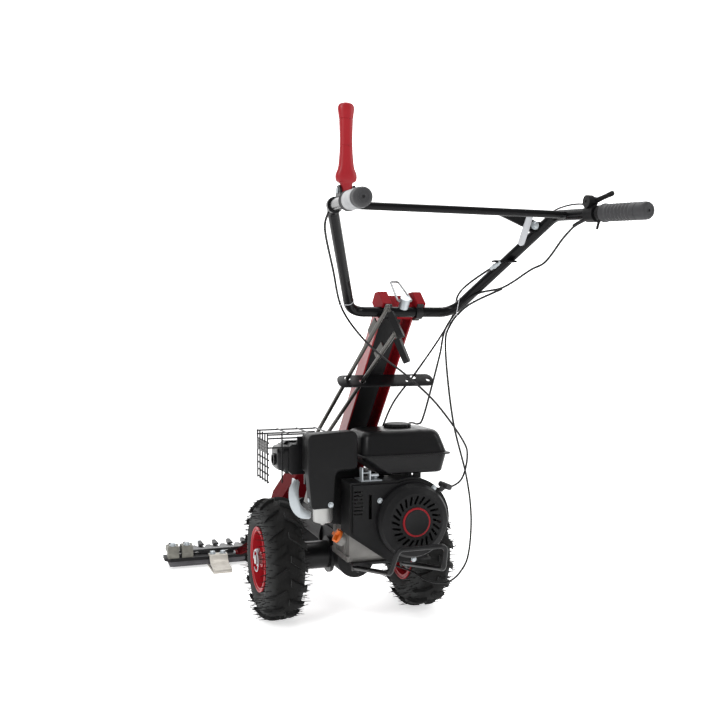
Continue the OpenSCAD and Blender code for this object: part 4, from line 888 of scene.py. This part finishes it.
def prism(name, points, height, matrix, bevel=0.0, segments=2):
    """Plate with this outline in millimetres, drawn up by its height, with bevelled edges."""
    piece = disc(len(points))
    for vertex, (x, y) in zip(piece.data.vertices, points):
        vertex.co = (x / 1000, y / 1000, 0)
    edit_all(piece)
    bpy.ops.mesh.extrude_region_move(TRANSFORM_OT_translate={"value": (0, 0, height / 1000)})
    bpy.ops.mesh.select_all(action="SELECT")
    bpy.ops.mesh.normals_make_consistent(inside=False)
    bpy.ops.object.mode_set(mode="OBJECT")
    if bevel:
        edges = piece.modifiers.new("Edges", "BEVEL")
        edges.width = bevel / 1000
        edges.segments = segments
        edges.limit_method = "ANGLE"
        edges.angle_limit = math.radians(40)
        apply(piece, edges)
    piece.matrix_world = matrix
    return settle(piece, name)


def facing_back(y):
    """Stands a flat outline up at this depth: x stays, y becomes z, and its height goes back."""
    return Matrix(((1, 0, 0, 0), (0, 0, -1, y), (0, 1, 0, 0), (0, 0, 0, 1)))


def facing_side(x):
    """Stands a flat outline up lengthways: x becomes y, y becomes z, and its height goes right."""
    return Matrix(((0, 0, 1, x), (1, 0, 0, AXLE.y), (0, 1, 0, 0), (0, 0, 0, 1)))


def dress(piece, material, body):
    """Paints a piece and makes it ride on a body."""
    paint(piece, material)
    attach(piece, body)
    return piece


def turned(name, profile, place, direction, count=40):
    """Turned piece with a profile of height and radius in millimetres, along the direction."""
    piece = loft(name, [(z, oval(r, r, 2, count)) for z, r in profile])
    piece.matrix_world = aimed(place, direction)
    return settle(piece, name)


def soften(node, width, segments):
    """Rounds a CAD node's sharp edges with live modifiers; its own mesh stays as it is."""
    piece = frame["nodes"][node]
    weld = piece.modifiers.new("Weld", "WELD")
    weld.merge_threshold = 1e-5
    flat = piece.modifiers.new("Flat faces", "DECIMATE")
    flat.decimate_type = "DISSOLVE"
    flat.angle_limit = math.radians(0.5)
    bevel = piece.modifiers.new("Edges", "BEVEL")
    bevel.width = width
    bevel.segments = segments
    bevel.limit_method = "ANGLE"
    bevel.angle_limit = math.radians(30)
    bevel.harden_normals = True
    bevel.use_clamp_overlap = True


def hex_bolt(width, height):
    """Hexagon bolt head on a washer, standing on z = 0, with a chamfered top."""
    deselect()
    middle = (0, 0, height / 2)
    bpy.ops.mesh.primitive_cylinder_add(vertices=6, radius=width / 2, depth=height, location=middle)
    head = bpy.context.object
    bevel = head.modifiers.new("Chamfer", "BEVEL")
    bevel.width = height * 0.16
    bevel.segments = 2
    apply(head, bevel)
    deselect()
    depth = height * 0.24
    bpy.ops.mesh.primitive_cylinder_add(
        vertices=24, radius=width * 0.64, depth=depth, location=(0, 0, depth / 2)
    )
    washer = bpy.context.object
    edit_all(washer)
    bpy.ops.mesh.bevel(offset=height * 0.04, segments=1, affect="EDGES")
    bpy.ops.object.mode_set(mode="OBJECT")
    return joined([head, washer], "bolt")


def bolts(name, places, width, height, body="chassis"):
    """Copies of one zinc plated bolt at the places, each a point and a direction, as one piece."""
    model = hex_bolt(width, height)
    twins = [copy_at(model, aimed(point, direction)) for point, direction in places]
    bpy.data.objects.remove(model)
    return dress(joined(twins, name), zinc_plate(), body)


# Operators


class MOWER_OT_finishes(bpy.types.Operator):
    """Give every CAD node its finish, round the saddle and thicken the bail."""

    bl_idname = "mower.finishes"
    bl_label = "Finishes"

    def execute(self, context):
        for material, nodes in NODE_FINISHES.items():
            for node in nodes:
                paint(frame["nodes"][node], material())
        soften("bar_saddle", SADDLE_EDGE, 3)
        wire = frame["nodes"]["bail"].modifiers.new("Wire", "DISPLACE")
        wire.strength = BAIL_GAIN
        wire.mid_level = 0
        return {"FINISHED"}


class MOWER_OT_cables(bpy.types.Operator):
    """Draw the control cables as smooth tubes."""

    bl_idname = "mower.cables"
    bl_label = "Control cables"

    def execute(self, context):
        for name, points in ROUTES.items():
            route = smooth_route([axle_frame(p) for p in points], 10)
            piece = tube(name, route, sizes().cable_d)
            paint(piece, cable_sheath())
            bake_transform(piece)
            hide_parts("control_cables")
        return {"FINISHED"}


class MOWER_OT_lever(bpy.types.Operator):
    """Model the red clutch lever with its flared foot, slim neck and swollen head."""

    bl_idname = "mower.lever"
    bl_label = "Clutch lever"

    def execute(self, context):
        pivot = Vector(JOINTS["clutch_lever_squeeze"]["pos_m"])
        lever = loft("lever_sleeve", [(z, oval(w, d, p, 40)) for z, w, d, p in LEVER_SHAPE])
        lever.location = pivot
        dress(settle(lever, "lever_sleeve"), lever_plastic(), "clutch_lever")
        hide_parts("clutch_lever")
        pin = turned("lever_pin", LEVER_PIN, pivot, (1, 0, 0), 24)
        dress(pin, zinc_plate(), "clutch_lever")
        return {"FINISHED"}


class MOWER_OT_grips(bpy.types.Operator):
    """Model the handlebar grips, with finger ribs and a dimpled end, and the sleeve on the left one."""

    bl_idname = "mower.grips"
    bl_label = "Grips"

    def execute(self, context):
        profile = (*GRIP_FLANGE, *GRIP_RIBS, *GRIP_END)
        x, y, z = on_grip(GRIP_AT)
        for side, node in ((-1, "left_grip"), (1, "right_grip")):
            place = axle_frame((side * x, y, z))
            direction = (side * GRIP_DIR[0], GRIP_DIR[1], GRIP_DIR[2])
            grip = turned(node + "_rubber", profile, place, direction)
            dress(grip, grip_rubber(), "handlebar")
            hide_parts(node)
            if side < 0:
                sleeve = turned("grip_sleeve", GRIP_SLEEVE, place, direction)
                dress(sleeve, grip_band(), "handlebar")
        return {"FINISHED"}


class MOWER_OT_tank(bpy.types.Operator):
    """Model the pressed fuel tank: bowl, seam flange and domed top."""

    bl_idname = "mower.tank"
    bl_label = "Fuel tank"

    def execute(self, context):
        halves = []
        for name, rows in (("bowl", TANK_BOWL), ("seam", TANK_SEAM), ("dome", TANK_DOME)):
            half = loft(name, [(z, rounded(*row)) for z, *row in rows])
            half.location = ENGINE
            halves.append(half)
        tank = dress(joined(halves, "tank_shell"), gloss_black(), "chassis")
        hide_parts("fuel_tank")
        return {"FINISHED"}


class MOWER_OT_filler(bpy.types.Operator):
    """Model the fuel filler cap with its lobed rim."""

    bl_idname = "mower.filler"
    bl_label = "Filler cap"

    def execute(self, context):
        cap = loft("filler_cap", [(z, lobed(r, wave, FILLER_LOBES, 160)) for z, r, wave in FILLER_RINGS])
        cap.location = FILLER_AT
        dress(settle(cap, "filler_cap"), black_plastic(), "fuel_cap")
        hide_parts("fuel_cap")
        return {"FINISHED"}


class MOWER_OT_mast(bpy.types.Operator):
    """Make the panel on the mast and the guide that carries the shift rods."""

    bl_idname = "mower.mast"
    bl_label = "Mast panel and rod guide"

    def bore(self, piece, matrix, radius):
        """Cuts a round hole through a piece."""
        deselect()
        bpy.ops.mesh.primitive_cylinder_add(vertices=32, radius=radius, depth=0.03)
        drill = bpy.context.object
        drill.matrix_world = matrix
        cut = piece.modifiers.new("Hole", "BOOLEAN")
        cut.operation = "DIFFERENCE"
        cut.solver = "EXACT"
        cut.object = drill
        apply(piece, cut)
        bpy.data.objects.remove(drill)

    def execute(self, context):
        on_mast = Matrix.Translation(axle_frame(MAST_FOOT)) @ Matrix.Rotation(MAST_LEAN, 4, "X")
        panel = prism("mast_cover", MAST_COVER, COVER_SHEET, on_mast @ facing_back(COVER_DEPTH), 0.8)
        dress(panel, black_plastic(), "chassis")
        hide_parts("mast_panel")
        on_guide = on_mast @ Matrix.Translation((0, 0, GUIDE_Z / 1000))
        guide = prism("guide_strip", cornered(GUIDE_STRIP), GUIDE_SHEET, on_guide, 0.6)
        for x, y, r in GUIDE_HOLES:
            hole = Matrix.Translation((x / 1000, y / 1000, GUIDE_SHEET / 2000))
            self.bore(guide, on_guide @ hole, r / 1000)
        dress(settle(guide, "guide_strip"), black_coat(), "chassis")
        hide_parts("guide_plate")
        return {"FINISHED"}


class MOWER_OT_covers(bpy.types.Operator):
    """Make the engine's sheets: cylinder baffle, air filter and the wing of the fan shroud."""

    bl_idname = "mower.covers"
    bl_label = "Engine covers"

    def execute(self, context):
        engine = Matrix.Translation(ENGINE)
        for name, corners, thickness, depth, edge, steps, node in ENGINE_SHEETS:
            sheet = prism(name, cornered(corners), thickness, engine @ facing_back(depth), edge, steps)
            if node == "cylinder_baffle":
                dress(sheet, zinc_plate(), "chassis")
            else:
                dress(sheet, black_plastic(), "chassis")
            if node:
                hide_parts(node)
        return {"FINISHED"}


class MOWER_OT_engine(bpy.types.Operator):
    """Model the carburettor's float bowl, the domed end of the muffler and the recoil starter's cap."""

    bl_idname = "mower.engine"
    bl_label = "Engine trim"

    def execute(self, context):
        bowl = turned("carburettor_bowl", FLOAT_BOWL, BOWL_AT, (0, 0, 1), 48)
        dress(bowl, cast_alloy(), "chassis")
        end = loft("muffler_end", [(z, rounded(*row)) for z, *row in MUFFLER_END])
        left = Matrix(((0, 0, -1, 0), (1, 0, 0, 0), (0, 1, 0, 0), (0, 0, 0, 1)))
        end.matrix_world = Matrix.Translation(MUFFLER_AT) @ left
        dress(settle(end, "muffler_end"), black_coat(), "chassis")
        cap = turned("recoil_cap", RECOIL_CAP, RECOIL_AT, (0, -1, 0), 64)
        dress(cap, black_plastic(), "chassis")
        return {"FINISHED"}


class MOWER_OT_drive(bpy.types.Operator):
    """Model the drive lever's link with its bolt, and the adjuster of the drive cable."""

    bl_idname = "mower.drive"
    bl_label = "Drive link and adjuster"

    def execute(self, context):
        capsule = []
        start = math.atan2(LINK_TOP.y - LINK_FOOT.y, LINK_TOP.x - LINK_FOOT.x)
        for centre, turn in ((LINK_TOP, 0), (LINK_FOOT, math.pi)):
            for k in range(13):
                angle = start + turn + math.pi * (k / 12 - 0.5)
                x, y = LINK_HALF * math.cos(angle), LINK_HALF * math.sin(angle)
                capsule.append((centre.x + x, centre.y + y))
        link = prism("drive_link", capsule, LINK_SHEET, facing_back(LINK_FRONT / 1000 + AXLE.y), 0.5)
        dress(link, pale_sleeve(), "drive_lever")
        bolts("drive_bolt", [(axle_frame(LINK_BOLT), (0, -1, 0))], 0.0146, 0.0068, "drive_lever")
        first, second = (axle_frame(p) for p in ROUTES["drive_cable"][:2])
        barrel = turned("cable_adjuster", ADJUSTER, first, second - first, 24)
        dress(barrel, zinc_plate(), "handlebar")
        return {"FINISHED"}


class MOWER_OT_throttle(bpy.types.Operator):
    """Model the throttle: thumb lever, rubber boot, stop wire, and the clamp collar with its peg."""

    bl_idname = "mower.throttle"
    bl_label = "Throttle"

    def execute(self, context):
        pivot = Vector(JOINTS["throttle_turn"]["pos_m"])
        arm = loft("arm", [(z, oval(w, d, p, 28)) for z, w, d, p in THUMB_SHAPE])
        arm.matrix_world = aimed(pivot, THUMB_DIR)
        hub = turned("hub", THUMB_HUB, pivot, (1, 0, 0), 36)
        pin = turned("pin", THUMB_PIN, pivot, (1, 0, 0), 20)
        thumb = joined([arm, hub, pin], "throttle_thumb")
        dress(thumb, black_plastic(), "throttle_lever")
        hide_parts("throttle_lever")
        boot = tube("throttle_boot", [axle_frame(p) for p in THROTTLE_BOOT], BOOT_D)
        wire = tube("stop_wire", smooth_route([axle_frame(p) for p in STOP_WIRE], 8), STOP_WIRE_D)
        for piece in (boot, wire):
            dress(piece, cable_sheath(), "handlebar")
        collar = turned("clamp_collar", CLAMP_COLLAR, axle_frame(on_grip(CLAMP_AT)), GRIP_DIR, 36)
        peg = turned("clamp_peg", CLAMP_PEG, axle_frame(on_grip(PEG_AT)), PEG_DIR, 18)
        for piece in (collar, peg):
            dress(piece, black_plastic(), "handlebar")
        return {"FINISHED"}


class MOWER_OT_cutter(bpy.types.Operator):
    """Bolt the cutter bar together, bend its skid shoes and give its beam a lower lip."""

    bl_idname = "mower.cutter"
    bl_label = "Cutter bar trim"

    def on_bar(self, x, top):
        """Point on one of the cutter bar's tops, this far from the middle."""
        return axle_frame((x, BEAM + top[0], top[1]))

    def execute(self, context):
        up = (0, 0, 1)
        heads = [(self.on_bar(x, CLIP_TOP), (0, -0.15, 1)) for x in CLIPS]
        bolts("clip_bolts", heads, 0.017, 0.009)
        nuts = []
        for k in range(FINGERS):
            x = FINGER_PITCH * (k - (FINGERS - 1) / 2)
            by_shoe = abs(abs(x) - SHOES[1]) < FINGER_PITCH
            by_clip = any(abs(x - clip) < FINGER_PITCH / 2 + 1 for clip in CLIPS)
            if abs(x) >= FRAME_HALF and not by_shoe and not by_clip:
                nuts.append((self.on_bar(x, FINGER_TOP), up))
        bolts("finger_bolts", nuts, 0.014, 0.007)
        outline = strip([(BEAM + y, z, r) for y, z, r in SHOE_PATH], SHOE_SHEET)
        pair = []
        for x in SHOES:
            left = facing_side((x - SHOE_WIDTH / 2) / 1000)
            pair.append(prism("shoe", outline, SHOE_WIDTH, left, 1))
        shoes = dress(joined(pair, "skid_shoes"), galvanised(), "chassis")
        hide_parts("skids")
        heads = [(self.on_bar(x + shift, SHOE_TOP), up) for x in SHOES for shift in (-17, 17)]
        bolts("skid_bolts", heads, 0.018, 0.009)
        # The lip's pale purple-grey is partly a painted highlight on the beam
        lip = prism("beam_lip", BEAM_LIP, 9, facing_back(axle_frame((0, BEAM + 22, 0)).y), 1.2)
        dress(lip, lip_steel_highlight(), "chassis")
        return {"FINISHED"}


class MOWER_OT_hood(bpy.types.Operator):
    """Draw in the wings of the red hood, on a copy of the cutter frame."""

    bl_idname = "mower.hood"
    bl_label = "Hood"

    def execute(self, context):
        node = frame["nodes"]["cutter_frame"]
        hood = bpy.data.objects.new("hood_sheet", node.data.copy())
        context.scene.collection.objects.link(hood)
        hood.matrix_world = node.matrix_world
        edit_all(settle(hood, "hood_sheet"))
        bpy.ops.mesh.remove_doubles(threshold=1e-5)
        bpy.ops.mesh.dissolve_limited(angle_limit=math.radians(0.5))
        bpy.ops.object.mode_set(mode="OBJECT")
        root = HOOD_ROOT / 1000
        for vertex in hood.data.vertices:
            reach = abs(vertex.co.x) - root
            if reach > 0 and vertex.co.y < AXLE.y + HOOD_FRONT / 1000:
                vertex.co.x = math.copysign(root + reach * HOOD_SHARE, vertex.co.x)
        dress(hood, frame_red(), "chassis")
        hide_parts("cutter_frame")
        return {"FINISHED"}


class MOWER_OT_pins(bpy.types.Operator):
    """Model the lynch pins in the axle ends: a shank with a turned head, and a thin sprung ring."""

    bl_idname = "mower.pins"
    bl_label = "Lynch pins"

    def execute(self, context):
        turns = [math.radians(angle) for angle in range(0, RING_SWEEP + 1, 10)]
        for side, wheel in ((-1, "left"), (1, "right")):
            shank = turned("shank", LYNCH_SHANK, axle_frame((side * LYNCH_X, 0, LYNCH_FOOT)), (0, 0, 1), 24)
            arc = []
            for turn in turns:
                y, z = RING_R * math.cos(turn), RING_Z + RING_R * math.sin(turn)
                arc.append(axle_frame((side * RING_X, y, z)))
            pin = joined([shank, tube("ring", arc, RING_D)], wheel + "_ring_pin")
            dress(pin, zinc_plate(), wheel + "_wheel")
            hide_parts(wheel + "_lynch_pin")
        return {"FINISHED"}


class MOWER_OT_ties(bpy.types.Operator):
    """Loop a thin tie round each handlebar leg and the cable beside it."""

    bl_idname = "mower.ties"
    bl_label = "Cable ties"

    def execute(self, context):
        for name, side, cable in (("left_tie", -1, "clutch_cable"), ("right_tie", 1, "wheel_cable")):
            leg = Vector((side * LEG_RUN[0], LEG_RUN[1], LEG_RUN[2])).normalized()
            y, z = (BEND[i] - LEG_RUN[i] * TIE_SHARE for i in (1, 2))
            centre = axle_frame((side * TIE_X, y, z))
            across = leg.cross(Vector((0, 0, 1))).normalized()
            up = across.cross(leg).normalized()
            route = smooth_route([axle_frame(p) for p in ROUTES[cable]], 10)
            near = min(route, key=lambda p: abs((p - centre).dot(leg)) + 0.2 * (p - centre).length) - centre
            rounds = ((0, 0, LEG_R), (near.dot(across), near.dot(up), sizes().cable_d / 2 + 0.0003))
            loop = []
            for k in range(64):
                angle = 2 * math.pi * k / 64
                c, s = math.cos(angle), math.sin(angle)
                x, y, r = max(rounds, key=lambda o: o[0] * c + o[1] * s + o[2])
                loop.append(centre + across * (x + r * c) + up * (y + r * s))
            dress(tube(name, loop + loop[:1], TIE_D), pale_sleeve(), "handlebar")
        return {"FINISHED"}


class MOWER_OT_bolts(bpy.types.Operator):
    """Set bolt heads on the engine's covers and on the filter."""

    bl_idname = "mower.bolts"
    bl_label = "Bolts"

    def execute(self, context):
        covers = [(ENGINE + Vector(p) / 1000, (0, -1, 0)) for p in COVER_BOLTS]
        bolts("cover_bolts", covers, sizes().bolt_d, 0.005)
        shell = [(ENGINE + Vector(p) / 1000, direction) for p, direction in FILTER_BOLTS]
        bolts("filter_bolts", shell, sizes().bolt_d, 0.005)
        return {"FINISHED"}


class MOWER_OT_whiskers(bpy.types.Operator):
    """Set rubber whiskers along the shoulders of both tyres."""

    bl_idname = "mower.whiskers"
    bl_label = "Tyre whiskers"

    def execute(self, context):
        for body, node in (("left_wheel", "left_tyre"), ("right_wheel", "right_tyre")):
            low, high = (Vector(p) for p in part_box(node))
            middle = (low + high) / 2
            radius = (high.z - low.z) / 2
            half = (high.x - low.x) / 2
            deselect()
            bpy.ops.mesh.primitive_cone_add(
                vertices=4, radius1=sizes().hair_d / 2, radius2=sizes().hair_d / 4, depth=sizes().hair_len,
                location=(0, 0, sizes().hair_len / 2),
            )
            hair = bpy.context.object
            pick(hair)
            bpy.ops.object.transform_apply(location=True)
            twins = []
            tyre = frame["nodes"][node]
            for row in range(sizes().hair_rows):
                for k, share in enumerate(HAIR_RINGS):
                    for side in (-1, 1):
                        turn = 2 * math.pi * (row + 0.37 * k + 0.5 * (side > 0)) / sizes().hair_rows
                        outwards = Vector((0, math.cos(turn), math.sin(turn)))
                        along = Vector((0, -math.sin(turn), math.cos(turn)))
                        start = middle + outwards * radius * share + Vector((side * (half + 0.02), 0, 0))
                        # A ray from the side finds the tyre's skin; roots deep between the lugs are left out
                        hit, root, normal, face = tyre.ray_cast(start, Vector((-side, 0, 0)))
                        if not hit or (root.x - middle.x) * side < 0.3 * half:
                            continue
                        # Sway, lift and length change from whisker to whisker
                        sway = 0.3 * math.sin(7.3 * row + 3 * k)
                        lift = 0.12 * math.sin(3.1 * row + k)
                        heading = Vector((side, 0, 0)) + outwards * lift + along * sway
                        stretch = Matrix.Diagonal((1, 1, 0.72 + 0.28 * math.sin(5.7 * row + 2 * k), 1))
                        twins.append(copy_at(hair, aimed(root - heading * 0.001, heading) @ stretch))
            bpy.data.objects.remove(hair)
            dress(joined(twins, node + "_whiskers"), tyre_rubber(), body)
        return {"FINISHED"}


class MOWER_OT_stage(bpy.types.Operator):
    """Set the floor, the backdrop, the lights and the camera."""

    bl_idname = "mower.stage"
    bl_label = "Stage"

    def execute(self, context):
        scene = context.scene
        deselect()
        bpy.ops.mesh.primitive_plane_add(size=60, location=(0, 0, 0))
        floor = context.object
        floor.name = "floor"
        upright = (math.pi / 2, 0, -CAMERA_TURN)
        bpy.ops.mesh.primitive_plane_add(size=60, location=(6, 18, 10), rotation=upright)
        wall = context.object
        wall.name = "backdrop"
        for sheet, glow in ((floor, 0.6), (wall, 1.05)):
            white = bpy.data.materials.new(sheet.name)
            white.use_nodes = True
            fill(white.node_tree.nodes["Principled BSDF"], {
                "Base Color": (0.9, 0.9, 0.9, 1), "Roughness": 0.9, "Specular IOR Level": 0.0,
                "Emission Color": (1, 1, 1, 1), "Emission Strength": glow,
            })
            paint(sheet, white)
        world = scene.world or bpy.data.worlds.new("Studio")
        scene.world = world
        world.use_nodes = True
        fill(world.node_tree.nodes["Background"], {"Color": (1, 1, 1, 1), "Strength": 0.5})
        for name, place, aim, width, height, power in LIGHTS:
            light = bpy.data.lights.new(name, "AREA")
            light.shape = "RECTANGLE"
            light.size = width
            light.size_y = height
            light.energy = power
            lamp = bpy.data.objects.new(name, light)
            scene.collection.objects.link(lamp)
            lamp.location = place
            lamp.rotation_euler = (Vector(aim) - Vector(place)).to_track_quat("-Z", "Y").to_euler()
        lens = bpy.data.cameras.new("camera")
        lens.lens = CAMERA_LENS
        lens.sensor_width = 36
        lens.clip_end = 100
        camera = bpy.data.objects.new("camera", lens)
        scene.collection.objects.link(camera)
        camera.location = CAMERA_AT
        camera.rotation_euler = (math.pi / 2 - CAMERA_PITCH, 0, -CAMERA_TURN)
        scene.camera = camera
        scene.view_settings.view_transform = "Standard"
        return {"FINISHED"}


class MOWER_PT_panel(bpy.types.Panel):
    """Lists the mower's operators."""

    bl_idname = "MOWER_PT_panel"
    bl_label = "Mower"
    bl_space_type = "VIEW_3D"
    bl_region_type = "UI"
    bl_category = "Mower"

    def draw(self, context):
        for operator in OPERATORS:
            self.layout.operator(operator.bl_idname)


OPERATORS = (
    MOWER_OT_stage,
    MOWER_OT_finishes,
    MOWER_OT_cables,
    MOWER_OT_lever,
    MOWER_OT_grips,
    MOWER_OT_tank,
    MOWER_OT_filler,
    MOWER_OT_mast,
    MOWER_OT_covers,
    MOWER_OT_engine,
    MOWER_OT_drive,
    MOWER_OT_throttle,
    MOWER_OT_cutter,
    MOWER_OT_hood,
    MOWER_OT_pins,
    MOWER_OT_ties,
    MOWER_OT_bolts,
    MOWER_OT_whiskers,
)
CLASSES = (MowerSizes, MowerColours, *OPERATORS, MOWER_PT_panel)


def register():
    """Registers the classes and their settings on the scene."""
    for cls in CLASSES:
        bpy.utils.register_class(cls)
    bpy.types.Scene.mower_sizes = bpy.props.PointerProperty(type=MowerSizes)
    bpy.types.Scene.mower_colours = bpy.props.PointerProperty(type=MowerColours)


def unregister():
    """Takes the classes and their settings away again."""
    del bpy.types.Scene.mower_colours
    del bpy.types.Scene.mower_sizes
    for cls in reversed(CLASSES):
        bpy.utils.unregister_class(cls)


def main():
    """Builds the dressed mower."""
    register()
    bpy.ops.mower.stage()
    bpy.ops.mower.finishes()
    bpy.ops.mower.cables()
    bpy.ops.mower.lever()
    bpy.ops.mower.grips()
    bpy.ops.mower.tank()
    bpy.ops.mower.filler()
    bpy.ops.mower.mast()
    bpy.ops.mower.covers()
    bpy.ops.mower.engine()
    bpy.ops.mower.drive()
    bpy.ops.mower.throttle()
    bpy.ops.mower.cutter()
    bpy.ops.mower.hood()
    bpy.ops.mower.pins()
    bpy.ops.mower.ties()
    bpy.ops.mower.bolts()
    bpy.ops.mower.whiskers()


if __name__ == "__main__":
    main()
